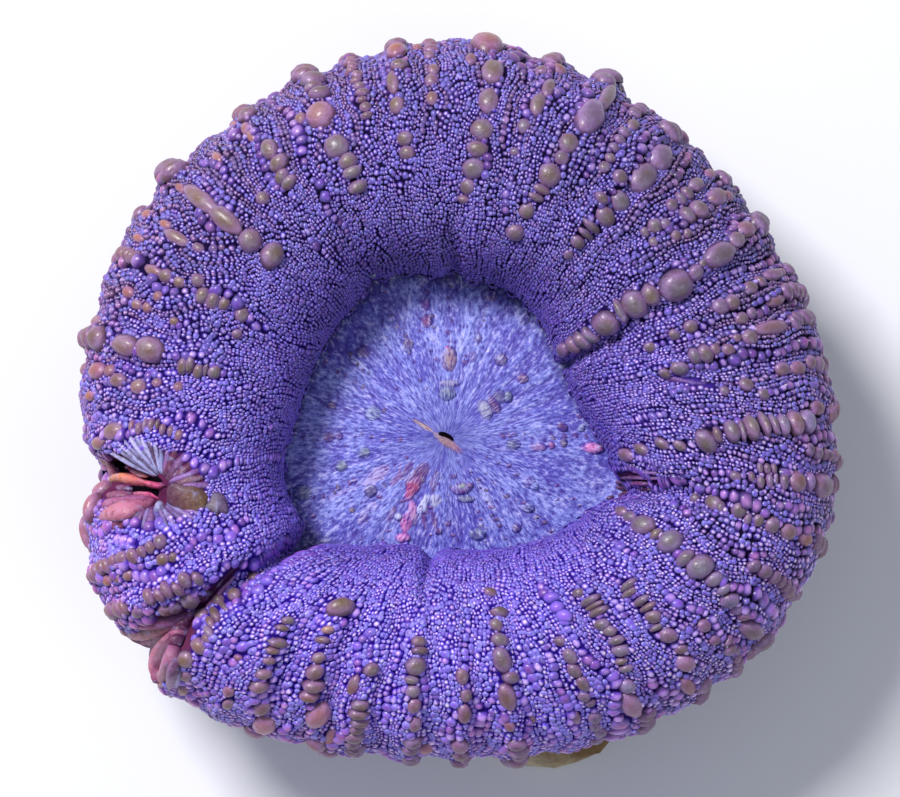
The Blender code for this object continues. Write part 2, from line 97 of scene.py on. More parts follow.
# Rows of bladders: direction and radius at the inner and the outer end, diameters along the row,
# spacing in diameters, and the colours at its inner end, middle and outer end
bladderRows = {
    "backLeftLong": (142.3, 20.6, 142.6, 29.2, (2.0, 2.3, 2.9), 1.00, ("oliveGrey", "brown", "tan")),
    "leftUpperSingle": (150.4, 27.4, 150.4, 30.2, (1.7, 2.0, 1.6), 1.10, ("orange", "orange", "brown")),
    "leftUpper": (158.8, 20.0, 157.9, 30.6, (1.2, 1.5, 1.4), 1.10, ("plum", "olive", "orange")),
    "left": (174.4, 21.3, 171.0, 31.4, (1.5, 2.1, 1.9), 1.05, ("plum", "olive", "salmon")),
    "leftLower": (178.0, 27.0, 176.0, 32.2, (1.3, 1.6, 1.5), 1.10, ("salmon", "orange", "red")),
    "backLeft": (128.3, 23.2, 127.5, 30.2, (1.6, 1.8, 1.4), 1.00, ("olive", "olive", "orange")),
    "backLeftLarge": (114.6, 19.4, 116.0, 30.4, (1.5, 1.9, 2.5), 1.00, ("plum", "oliveGrey", "salmon")),
    "backLeftSmall": (108.2, 24.0, 108.2, 30.2, (1.1, 1.2, 1.3), 1.10, ("plum", "salmon", "orange")),
    "backOlive": (102.0, 21.8, 99.6, 30.8, (1.4, 1.4, 1.6), 1.35, ("plum", "oliveGrey", "orange")),
    "backSmall": (94.7, 24.2, 94.5, 30.8, (1.1, 1.3, 1.4), 1.20, ("plum", "red", "orange")),
    "backLarge": (87.3, 18.2, 85.0, 31.0, (1.5, 2.1, 2.6), 1.00, ("plum", "brown", "orange")),
    "backRightSmall": (76.1, 24.0, 72.7, 30.2, (1.3, 1.7, 1.6), 1.05, ("plum", "orange", "orange")),
    "backRightLarge": (70.0, 17.1, 63.6, 29.8, (1.5, 2.1, 2.7), 1.00, ("oliveGrey", "olive", "salmon")),
    "backRightFine": (57.7, 23.6, 57.0, 29.6, (1.1, 1.3, 1.4), 1.00, ("plum", "plum", "salmon")),
    "rightUpperLarge": (52.2, 16.8, 49.7, 29.8, (1.2, 2.3, 1.9), 0.98, ("plum", "greyPlum", "salmon")),
    "rightUpperFine": (40.6, 21.7, 39.0, 29.8, (1.2, 1.5, 1.5), 1.05, ("plum", "plum", "salmon")),
    "longRight": (23.4, 11.8, 30.0, 29.8, (1.5, 2.6, 1.8), 0.95, ("oliveGrey", "oliveGrey", "olive")),
    "rightFine": (18.6, 24.3, 20.9, 30.8, (1.2, 1.4, 1.5), 1.05, ("plum", "plum", "salmon")),
    "rightPair": (16.8, 27.0, 15.8, 31.0, (1.3, 1.5, 1.5), 1.10, ("plum", "salmon", "salmon")),
    "rightSingle": (10.9, 24.0, 12.1, 30.8, (1.2, 1.6, 1.7), 1.10, ("plum", "plum", "salmon")),
    "rightInner": (5.0, 16.7, 9.6, 22.6, (1.3, 1.6, 1.3), 1.10, ("plum", "olive", "plum")),
    "rightEdge": (4.7, 27.5, 4.7, 31.8, (1.2, 1.4, 1.4), 1.15, ("plum", "salmon", "red")),
    "right": (-13.6, 18.6, -2.1, 31.8, (1.1, 1.7, 1.8), 1.00, ("plum", "olive", "orange")),
    "rightLowEdge": (-10.1, 30.0, -10.1, 33.4, (1.1, 1.2, 1.2), 1.15, ("plum", "orange", "red")),
    "rightLowerFine": (-15.1, 26.5, -13.6, 33.8, (1.1, 1.6, 1.7), 1.00, ("plum", "orange", "orange")),
    "rightLower": (-22.5, 22.5, -23.3, 33.6, (1.3, 1.7, 2.0), 1.00, ("olive", "oliveGrey", "orange")),
    "frontRightEdge": (-31.0, 29.0, -31.0, 33.8, (1.3, 1.4, 1.4), 1.20, ("plum", "salmon", "salmon")),
    "frontRightLong": (-34.0, 17.6, -40.4, 33.6, (1.4, 2.5, 2.3), 0.95, ("brown", "paleGreen", "salmon")),
    "frontRightSmall": (-42.5, 28.4, -45.0, 33.4, (1.1, 1.2, 1.3), 1.05, ("plum", "salmon", "salmon")),
    "frontRight": (-47.6, 21.6, -51.2, 32.6, (1.3, 1.7, 2.0), 1.00, ("plum", "brown", "salmon")),
    "frontRightInner": (-57.2, 20.5, -60.8, 32.0, (1.4, 1.7, 1.9), 0.95, ("olive", "oliveGrey", "salmon")),
    "frontSingle": (-67.4, 23.0, -68.0, 31.6, (1.3, 1.2, 1.4), 1.40, ("olive", "plum", "plum")),
    "front": (-79.5, 19.5, -81.2, 31.4, (1.3, 1.7, 1.9), 1.00, ("plum", "plum", "red")),
    "frontMiddle": (-88.8, 24.0, -89.5, 31.2, (1.2, 1.4, 1.5), 1.10, ("plum", "plum", "salmon")),
    "frontLeft": (-98.8, 21.6, -97.0, 31.2, (1.4, 1.8, 1.6), 1.05, ("brown", "plum", "plum")),
    "frontLeftShort": (-107.0, 24.6, -105.8, 31.2, (1.4, 1.7, 1.5), 1.05, ("olive", "olive", "plum")),
    "frontLeftPale": (-118.9, 21.3, -110.6, 31.8, (2.2, 1.6, 2.3), 1.05, ("olive", "salmon", "salmon")),
    "lowerLeft": (-127.0, 24.2, -120.4, 33.2, (1.2, 1.7, 2.1), 0.95, ("plum", "brown", "orange")),
    "lowerLeftEdge": (-138.0, 27.0, -134.4, 34.6, (1.4, 1.7, 1.6), 1.05, ("olive", "olive", "orange")),
    "flap": (-143.5, 27.0, -148.0, 33.8, (1.4, 1.5, 1.5), 1.10, ("plum", "salmon", "salmon")),
    "flapEdge": (-152.0, 28.0, -153.5, 33.4, (1.2, 1.4, 1.4), 1.20, ("plum", "salmon", "salmon")),
}

# Bladders that stand out, by row, each given one by one: its middle in pixels, its size across and along
# the row in pixels, and the nearest colour
namedBladders = {
    "leftTop": (
        (200, 200, 17, 40, "tan"), (225, 220, 19, 38, "brownOlive"), (250, 242, 23, 22, "greyPlum"),
        (272, 255, 24, 22, "oliveGrey"), (177, 237, 13, 28, "tan"), (166, 225, 9, 13, "orange"),
        (198, 248, 10, 12, "plum"),
    ),
    "leftTopOlive": (
        (268, 150, 17, 19, "olive"), (280, 163, 20, 14, "brownOlive"), (282, 175, 16, 13, "oliveGrey"),
        (289, 183, 18, 12, "oliveGrey"), (261, 198, 13, 13, "greyPlum"),
    ),
    "leftUpper": (
        (154, 272, 11, 19, "amber"), (167, 275, 14, 14, "brownOlive"), (179, 283, 12, 12, "tan"),
        (202, 295, 18, 13, "olive"), (213, 301, 20, 13, "greyPlum"), (225, 303, 15, 11, "oliveGrey"),
        (242, 315, 16, 14, "greyPlum"), (175, 321, 9, 10, "tan"), (236, 334, 10, 10, "plum"),
        (129, 294, 12, 12, "salmon"), (137, 304, 11, 11, "amber"), (147, 308, 11, 9, "salmon"),
        (157, 296, 11, 9, "salmon"), (97, 322, 13, 14, "amber"),
    ),
    "left": (
        (125, 345, 20, 24, "tan"), (150, 349, 25, 27, "brownTan"), (182, 366, 17, 10, "olive"),
        (190, 365, 17, 9, "olive"), (199, 371, 16, 10, "oliveGrey"), (205, 369, 15, 5, "greyPlum"),
        (214, 372, 14, 13, "greyGreen"),
    ),
    "leftLower": (
        (84, 368, 13, 10, "amber"), (98, 371, 17, 16, "salmon"), (119, 379, 14, 15, "brownTan"),
        (138, 386, 15, 15, "amber"), (90, 396, 10, 10, "orange"), (178, 388, 10, 10, "rose"),
        (157, 383, 9, 10, "rose"),
    ),
    "leftSlices": (
        (113, 430, 17, 19, "tan"), (133, 425, 13, 6, "rose"), (139, 429, 13, 7, "mauve"),
        (146, 425, 15, 6, "mauve"), (152, 424, 14, 7, "mauve"), (158, 424, 12, 5, "greyPlum"),
        (163, 428, 12, 7, "mauve"), (170, 432, 11, 7, "mauve"), (179, 434, 11, 9, "rose"),
        (99, 444, 13, 14, "amber"),
    ),
    "sideLip": (
        (105, 470, 18, 10, "peachPink"), (101, 487, 22, 10, "peachPink"), (93, 507, 28, 8, "peachPink"),
        (87, 533, 34, 7, "peachPink"), (107, 459, 14, 9, "pinkMauve"),
    ),
    "flapRows": (
        (163, 561, 13, 14, "brownOlive"), (173, 557, 10, 10, "greyPlum"), (128, 576, 11, 10, "amber"),
        (108, 580, 12, 9, "orange"), (118, 578, 10, 8, "amber"), (84, 580, 12, 10, "salmon"),
    ),
    "flapEdge": (
        (190, 601, 15, 17, "oliveGrey"), (175, 608, 12, 13, "greyPlum"), (166, 611, 12, 12, "brownTan"),
        (139, 614, 12, 11, "plum"), (137, 640, 11, 20, "salmon"), (118, 644, 14, 12, "orange"),
        (157, 681, 11, 14, "orange"),
    ),
    "lowerLeft": (
        (254, 578, 12, 10, "plum"), (234, 595, 11, 13, "brownOlive"), (223, 607, 13, 6, "oliveGrey"),
        (216, 615, 14, 9, "olive"), (211, 624, 11, 8, "tan"), (209, 631, 12, 8, "pearl"),
        (208, 639, 10, 8, "brownTan"), (199, 646, 17, 13, "tan"), (186, 661, 16, 15, "ochre"),
        (186, 675, 13, 10, "brownTan"), (183, 689, 13, 11, "amber"), (239, 659, 9, 7, "rose"),
        (229, 692, 12, 11, "rose"), (228, 704, 11, 11, "brownTan"),
    ),
    "frontLeftLong": (
        (289, 620, 12, 9, "oliveGrey"), (283, 629, 13, 7, "olive"), (278, 643, 17, 10, "oliveGrey"),
        (272, 651, 14, 8, "brownTan"), (269, 659, 13, 8, "brownTan"), (264, 673, 15, 11, "tan"),
        (260, 687, 17, 13, "tan"), (261, 706, 17, 16, "brownTan"), (266, 724, 23, 18, "peach"),
    ),
    "frontLeftPale": (
        (340, 608, 26, 17, "ochre"), (327, 629, 13, 9, "cream"), (323, 641, 14, 8, "brownTan"),
        (318, 657, 13, 12, "tan"), (320, 714, 22, 26, "peach"), (330, 738, 11, 21, "drip"),
        (354, 686, 11, 20, "brick"),
    ),
    "frontLeft": (
        (420, 641, 14, 10, "tan"), (419, 651, 15, 8, "greyPlum"), (415, 666, 19, 17, "oliveGrey"),
        (413, 679, 14, 8, "greyGreen"), (412, 691, 14, 12, "pearl"), (414, 706, 14, 14, "rose"),
        (416, 724, 13, 14, "rose"), (425, 747, 17, 12, "drip"),
    ),
    "frontMiddle": (
        (463, 676, 12, 16, "brick"), (465, 696, 11, 13, "brownTan"), (465, 714, 13, 18, "brick"),
        (461, 746, 17, 13, "rose"),
    ),
    "front": (
        (491, 593, 13, 8, "brownTan"), (499, 612, 17, 9, "olive"), (497, 624, 13, 12, "ochre"),
        (499, 640, 16, 13, "oliveGrey"), (503, 660, 17, 24, "greyPlum"), (506, 698, 17, 26, "brick"),
        (509, 726, 11, 11, "drip"), (531, 719, 8, 8, "brick"), (561, 641, 11, 10, "plum"),
        (576, 718, 10, 14, "rose"),
    ),
    "frontRightInner": (
        (579, 593, 13, 9, "greyPlum"), (590, 600, 20, 8, "oliveGrey"), (594, 606, 20, 6, "olive"),
        (598, 613, 20, 8, "olive"), (602, 624, 15, 12, "greyGreen"), (610, 630, 13, 11, "ochre"),
        (616, 641, 16, 9, "oliveGrey"), (619, 650, 17, 12, "pearl"), (622, 661, 14, 7, "olive"),
        (626, 669, 15, 8, "greyGreen"), (627, 685, 17, 14, "pearl"), (630, 706, 20, 25, "peach"),
    ),
    "frontRight": (
        (629, 585, 19, 8, "oliveGrey"), (630, 593, 18, 8, "olive"), (640, 601, 18, 8, "oliveGrey"),
        (648, 608, 18, 7, "brownTan"), (653, 617, 16, 14, "brownOlive"), (657, 626, 16, 7, "oliveGrey"),
        (668, 636, 18, 16, "rose"), (680, 650, 13, 10, "brownTan"), (684, 663, 19, 17, "peach"),
        (688, 685, 15, 19, "drip"),
    ),
    "frontRightLong": (
        (621, 511, 11, 10, "brick"), (630, 516, 12, 11, "greyGreen"), (643, 526, 20, 20, "oliveGrey"),
        (656, 535, 14, 9, "ochre"), (670, 542, 24, 20, "paleGreen"), (685, 559, 20, 13, "greyGreen"),
        (700, 567, 26, 22, "paleGreen"), (713, 580, 17, 14, "pearl"), (724, 588, 15, 10, "pearl"),
        (729, 600, 18, 15, "lilacGrey"), (736, 610, 13, 10, "mauve"), (743, 616, 14, 10, "rose"),
        (751, 631, 20, 23, "brownTan"), (750, 652, 17, 12, "brick"), (729, 673, 14, 12, "brick"),
        (705, 626, 14, 13, "rose"), (715, 638, 12, 10, "rose"),
    ),
    "rightLower": (
        (695, 497, 10, 10, "greyPlum"), (713, 502, 15, 14, "ochre"), (721, 507, 12, 8, "greyPlum"),
        (739, 511, 16, 14, "oliveGrey"), (748, 519, 14, 8, "mauve"), (758, 520, 14, 11, "olive"),
        (771, 525, 17, 14, "brownTan"), (788, 531, 17, 16, "amber"), (805, 540, 14, 14, "orange"),
    ),
    "rightLowerFine": (
        (735, 476, 10, 12, "plum"), (751, 477, 10, 7, "plum"), (761, 481, 13, 8, "greyPlum"),
        (770, 481, 15, 7, "mauve"), (776, 480, 15, 5, "mauve"), (784, 482, 18, 8, "greyPlum"),
        (797, 481, 20, 17, "amber"), (809, 482, 19, 8, "mauve"), (822, 485, 24, 18, "brownTan"),
        (833, 487, 14, 8, "orange"),
    ),
    "right": (
        (627, 455, 14, 14, "rose"), (641, 450, 13, 13, "greyPlum"), (663, 444, 13, 13, "greyPlum"),
        (680, 445, 12, 12, "ochre"), (707, 441, 22, 20, "oliveGrey"), (718, 436, 16, 9, "brownTan"),
        (732, 432, 20, 15, "oliveGrey"), (743, 429, 20, 7, "greyPlum"), (752, 427, 22, 14, "ochre"),
        (765, 424, 24, 9, "brownTan"), (774, 425, 20, 8, "greyPlum"), (782, 425, 20, 11, "pearl"),
        (794, 422, 24, 14, "amber"), (806, 422, 23, 13, "pearl"), (817, 409, 15, 14, "brick"),
    ),
    "rightEdge": (
        (747, 385, 13, 14, "brownTan"), (764, 393, 12, 12, "greyPlum"), (725, 391, 10, 10, "plum"),
        (727, 349, 12, 13, "rose"), (781, 370, 15, 14, "rose"), (797, 367, 15, 16, "salmon"),
        (738, 338, 9, 9, "rose"), (750, 336, 16, 15, "brownTan"), (772, 328, 14, 32, "salmon"),
    ),
    "rightPair": (
        (706, 354, 18, 15, "brownOlive"), (695, 355, 16, 12, "greyGreen"), (680, 367, 14, 17, "greyGreen"),
        (666, 373, 12, 11, "greyPlum"), (650, 346, 12, 12, "greyPlum"), (675, 334, 12, 11, "greyPlum"),
        (690, 326, 13, 14, "brownTan"), (715, 350, 12, 10, "rose"),
    ),
    "longRight": (
        (563, 350, 14, 11, "plum"), (573, 345, 18, 9, "brick"), (582, 340, 20, 10, "greyPlum"),
        (590, 335, 20, 8, "greyGreen"), (606, 323, 24, 22, "brownOlive"), (620, 312, 24, 9, "greyGreen"),
        (634, 305, 28, 22, "oliveGrey"), (651, 294, 22, 16, "ochre"), (676, 285, 27, 32, "greyPlum"),
        (695, 273, 15, 15, "mauve"), (719, 255, 22, 32, "greyPlum"), (737, 240, 16, 15, "brownTan"),
        (745, 229, 17, 16, "drip"), (703, 262, 8, 8, "olive"),
    ),
    "rightFine": (
        (721, 307, 16, 16, "mauve"), (733, 302, 16, 14, "brownTan"), (750, 287, 13, 13, "brownTan"),
        (759, 282, 12, 7, "rose"), (773, 275, 13, 18, "rose"), (781, 273, 9, 8, "drip"),
        (741, 318, 13, 13, "brownTan"), (751, 314, 13, 9, "mauve"), (776, 302, 12, 18, "salmon"),
    ),
    "rightUpper": (
        (654, 226, 16, 14, "oliveGrey"), (664, 223, 12, 11, "mauve"), (645, 232, 12, 9, "greyPlum"),
        (677, 236, 11, 10, "brownTan"), (687, 234, 10, 9, "brownTan"), (654, 241, 10, 9, "brownTan"),
        (687, 216, 18, 12, "greyPlum"), (698, 210, 20, 14, "brownTan"), (717, 198, 18, 17, "rose"),
        (728, 197, 12, 7, "drip"), (696, 184, 15, 14, "tan"), (709, 174, 13, 12, "drip"),
    ),
    "backRightLarge": (
        (569, 254, 10, 10, "plum"), (577, 242, 14, 12, "olive"), (586, 234, 17, 7, "greyPlum"),
        (592, 227, 18, 9, "olive"), (604, 216, 22, 18, "brownOlive"), (619, 201, 22, 19, "greyGreen"),
        (643, 179, 26, 30, "greyPlum"), (660, 158, 26, 24, "mauve"), (671, 149, 26, 8, "olive"),
        (676, 143, 24, 7, "brownTan"), (681, 138, 19, 8, "drip"),
    ),
    "backRightFine": (
        (604, 168, 12, 11, "greyPlum"), (609, 158, 12, 9, "tan"), (614, 149, 12, 8, "mauve"),
        (619, 140, 13, 8, "mauve"), (625, 133, 13, 8, "mauve"), (634, 126, 13, 11, "tan"),
        (640, 110, 9, 9, "orange"),
    ),
    "backRight": (
        (516, 232, 18, 15, "greyPlum"), (526, 211, 15, 16, "ochre"), (536, 196, 18, 8, "greyPlum"),
        (542, 189, 20, 9, "brownTan"), (550, 175, 24, 23, "brownOlive"), (561, 157, 15, 14, "greyPlum"),
        (569, 143, 20, 19, "olive"), (589, 116, 26, 34, "mauve"), (606, 98, 15, 30, "brownTan"),
    ),
    "backSmall": (
        (524, 126, 13, 14, "greyPlum"), (539, 105, 15, 22, "ochre"), (549, 88, 13, 19, "brownTan"),
        (549, 76, 16, 9, "peach"), (559, 71, 16, 9, "orange"), (526, 60, 15, 10, "orange"),
        (515, 151, 10, 9, "plum"),
    ),
    "backLarge": (
        (486, 46, 32, 24, "orange"), (503, 52, 20, 13, "orange"), (491, 73, 23, 22, "ochre"),
        (489, 102, 20, 24, "brownTan"), (483, 129, 23, 20, "oliveGrey"), (478, 148, 22, 15, "olive"),
        (473, 168, 22, 19, "greyGreen"), (467, 187, 15, 16, "greyPlum"), (464, 199, 12, 8, "plum"),
    ),
    "backLeft": (
        (433, 69, 12, 10, "amber"), (431, 81, 13, 12, "rose"), (431, 98, 12, 13, "amber"),
        (394, 82, 13, 22, "brownTan"), (397, 106, 14, 16, "ochre"), (405, 138, 15, 14, "oliveGrey"),
        (406, 153, 15, 14, "greyPlum"), (397, 52, 20, 14, "orange"), (418, 49, 12, 10, "orange"),
        (435, 50, 19, 11, "salmon"), (470, 60, 12, 11, "rose"),
    ),
    "backLeftLarge": (
        (321, 115, 27, 24, "peach"), (337, 146, 24, 23, "greyGreen"), (348, 162, 19, 16, "oliveGrey"),
        (353, 172, 20, 12, "paleGreen"), (358, 186, 20, 12, "greyGreen"), (300, 120, 13, 10, "amber"),
    ),
    "backLeftEdge": (
        (218, 157, 10, 12, "orange"), (235, 126, 11, 10, "orange"), (246, 130, 12, 11, "salmon"),
        (253, 136, 11, 13, "orange"), (172, 184, 13, 11, "salmon"), (181, 189, 9, 13, "salmon"),
        (163, 202, 9, 9, "salmon"), (148, 214, 11, 10, "orange"), (155, 219, 8, 8, "orange"),
        (139, 237, 9, 11, "orange"),
    ),
}

# Smooth places without beads: middle and half-widths in pixels, clockwise turn, colour of the skin there
smoothPlaces = {
    "sideMouth": ((149, 484), (59, 37), 4.0, "maroonPink"),
    "flapFolds": ((157, 650), (52, 29), -50.0, "brownPlum"),
    "flapCrease": ((216, 590), (42, 6), -48.0, "maroon"),
    "wrinkles": ((633, 478), (26, 5), 8.0, "maroon"),
    "longRowFold": ((690, 382), (30, 4), 12.0, "deepViolet"),
}

lowestSmooth = 12.5   # millimetres: under this height beads cover the smooth places too

# Soft folds: start and end in pixels, width in pixels, height in millimetres, colours of the two ends
folds = {
    "upperLip": (
        ((158, 477), (107, 450), 5, 0.60, "paleLilac", "lilac"),
        ((158, 476), (112, 446), 5, 0.45, "greyPlum", "paleLilac"),
        ((158, 476), (117, 442), 5, 0.55, "paleLilac", "lilac"),
        ((158, 475), (123, 439), 5, 0.50, "greyPlum", "paleLilac"),
        ((159, 475), (129, 436), 6, 0.60, "paleLilac", "lilac"),
        ((159, 474), (135, 435), 6, 0.50, "greyPlum", "paleLilac"),
        ((160, 474), (141, 436), 6, 0.55, "paleLilac", "lilac"),
        ((161, 474), (148, 438), 6, 0.55, "greyPlum", "greyPlum"),
        ((162, 475), (154, 442), 5, 0.60, "paleLilac", "lilac"),
        ((163, 476), (160, 447), 5, 0.55, "paleLilac", "paleLilac"),
        ((165, 478), (167, 449), 6, 0.45, "maroonPink", "mauve"),
        ((165, 478), (175, 449), 8, 0.45, "maroonPink", "maroonPink"),
        ((166, 480), (186, 453), 9, 0.45, "brownPlum", "plum"),
        ((167, 481), (195, 461), 8, 0.40, "maroonPink", "maroonPink"),
        ((168, 483), (203, 469), 6, 0.40, "mauve", "plum"),
        ((169, 485), (205, 477), 7, 0.40, "brownPlum", "brownTan"),
        ((170, 487), (212, 485), 7, 0.35, "plum", "mauve"),
    ),
    "lowerLip": (
        ((168, 503), (202, 515), 6, 0.50, "plum", "mauve"),
        ((166, 503), (194, 519), 6, 0.50, "lilacGrey", "mauve"),
        ((164, 505), (186, 523), 6, 0.50, "plum", "lilacGrey"),
        ((161, 506), (176, 526), 6, 0.55, "paleLilac", "mauve"),
        ((158, 506), (168, 528), 5, 0.50, "mauve", "lilacGrey"),
        ((155, 506), (160, 528), 6, 0.50, "lilacGrey", "violet"),
        ((152, 506), (151, 529), 7, 0.50, "maroonPink", "mauve"),
        ((149, 507), (143, 529), 6, 0.50, "mauve", "lilacGrey"),
        ((145, 508), (135, 529), 6, 0.50, "maroonPink", "mauve"),
        ((141, 510), (127, 530), 7, 0.50, "lilacGrey", "lilacGrey"),
        ((137, 511), (118, 530), 8, 0.55, "brick", "maroonPink"),
        ((130, 513), (108, 530), 9, 0.55, "maroonPink", "brick"),
        ((122, 516), (99, 530), 9, 0.55, "brick", "rose"),
        ((157, 502), (88, 518), 20, 1.00, "rosePink", "peachPink"),
        ((152, 499), (94, 506), 13, 0.80, "rose", "rosePink"),
        ((142, 495), (98, 497), 11, 0.75, "maroonPink", "rosePink"),
        ((135, 490), (100, 488), 9, 0.70, "maroonPink", "rose"),
    ),
    # Near-black ridges, painted as the shadow inside the side mouth
    "darkThroat": (
        ((162, 481), (111, 467), 13, 0.45, "ink", "darkBrown"),
        ((160, 494), (126, 489), 11, 0.75, "ink", "darkBrown"),
    ),
    "throat": (
        ((166, 486), (106, 478), 9, 1.30, "glowPink", "glowOrange"),
        ((131, 468), (108, 460), 10, 1.10, "magenta", "glowMagenta"),
        ((150, 476), (128, 465), 4, 0.90, "orange", "magenta"),
        ((112, 474), (103, 468), 11, 0.90, "brick", "salmon"),
        ((159, 499), (132, 496), 5, 1.05, "glowPink", "salmon"),
    ),
    "innerLobe": (
        ((167, 494), (209, 504), 27, 0.95, "brownPlum", "deepOlive"),
        ((207, 503), (228, 505), 22, 0.95, "oliveGrey", "greyPlum"),
        ((161, 502), (158, 514), 9, 0.90, "pearl", "paleLilac"),
    ),
    "flap": (
        ((198, 612), (136, 626), 12, 1.30, "plum", "rosePink"),
        ((197, 613), (126, 636), 16, 1.60, "maroonPink", "peachPink"),
        ((195, 616), (124, 648), 12, 1.70, "rose", "rosePink"),
        ((193, 619), (130, 656), 12, 2.00, "maroonPink", "rose"),
        ((191, 622), (137, 664), 12, 2.20, "rose", "rosePink"),
        ((189, 626), (143, 671), 12, 2.40, "maroonPink", "rose"),
        ((187, 630), (151, 679), 12, 2.50, "rosePink", "peachPink"),
        ((184, 635), (158, 685), 12, 2.30, "maroonPink", "rosePink"),
        ((181, 640), (165, 690), 12, 2.00, "rose", "peachPink"),
        ((179, 647), (171, 697), 11, 1.50, "maroonPink", "roseLilac"),
        ((178, 655), (177, 702), 8, 0.90, "paleLilac", "roseLilac"),
    ),
    # The near-black lines here are painted shade in the crease
    "crease": (
        ((248, 553), (196, 611), 4, 0.10, "creviceShade", "darkBrown"),
        ((240, 570), (200, 615), 5, 0.35, "mauve", "rose"),
        ((212, 590), (200, 602), 13, 0.35, "darkBrown", "brownPlum"),
    ),
    "mouthLips": (
        ((409, 417), (437, 434), 5, 0.26, "amberOlive", "cream"),
        ((431, 431), (464, 454), 9, 0.42, "cream", "peachPink"),
    ),
    "discFolds": (
        ((430, 460), (400, 500), 17, 0.34, "maroonPink", "brick"),
        ((421, 472), (405, 502), 12, 0.55, "brick", "glowRed"),
        ((415, 455), (394, 496), 10, 0.26, "plum", "maroonPink"),
        ((405, 458), (388, 500), 10, 0.26, "mauve", "plum"),
        ((438, 465), (428, 502), 9, 0.30, "maroonPink", "mauve"),
        # These pale white folds are partly pale tissue and partly painted highlights on the wet folds
        ((411, 498), (415, 528), 9, 0.48, "pinkGlow", "pearl"),
        ((430, 490), (416, 523), 9, 0.52, "white", "lilac"),
        ((440, 492), (432, 508), 12, 0.48, "pearl", "white"),
        ((420, 503), (427, 533), 5, 0.30, "brick", "plum"),
        ((432, 506), (438, 536), 7, 0.30, "maroonPink", "plum"),
        ((397, 503), (385, 526), 9, 0.28, "maroonPink", "mauve"),
        ((392, 458), (358, 502), 18, 0.26, "mauve", "lilac"),
        ((380, 498), (343, 532), 12, 0.24, "mauve", "lilac"),
        ((411, 508), (402, 536), 13, 0.44, "pinkMauve", "pinkGlow"),
        ((342, 446), (298, 456), 13, 0.22, "lilac", "mauve"),
        ((382, 477), (306, 513), 12, 0.22, "paleLavender", "mauve"),
        ((470, 470), (500, 520), 10, 0.20, "paleLavender", "lilac"),
        ((380, 380), (340, 350), 12, 0.20, "paleLavender", "lilac"),
    ),
    "rightWrinkles": (
        ((610, 487), (654, 490), 5, 0.40, "brownPlum", "maroon"),
        ((612, 482), (660, 484), 4, 0.50, "brick", "plum"),
        ((606, 499), (630, 492), 5, 0.50, "brownPlum", "brownPlum"),
        ((616, 477), (664, 478), 4, 0.45, "brownPlum", "mauve"),
        ((630, 471), (660, 473), 4, 0.45, "plum", "mauve"),
        ((660, 378), (708, 384), 5, 0.25, "plum", "deepViolet"),
        ((664, 385), (700, 390), 5, 0.25, "deepViolet", "plum"),
        # a near-black line painted as the shade in the groove
        ((668, 371), (712, 377), 5, 0.10, "creviceShade", "creviceShade"),
    ),
}

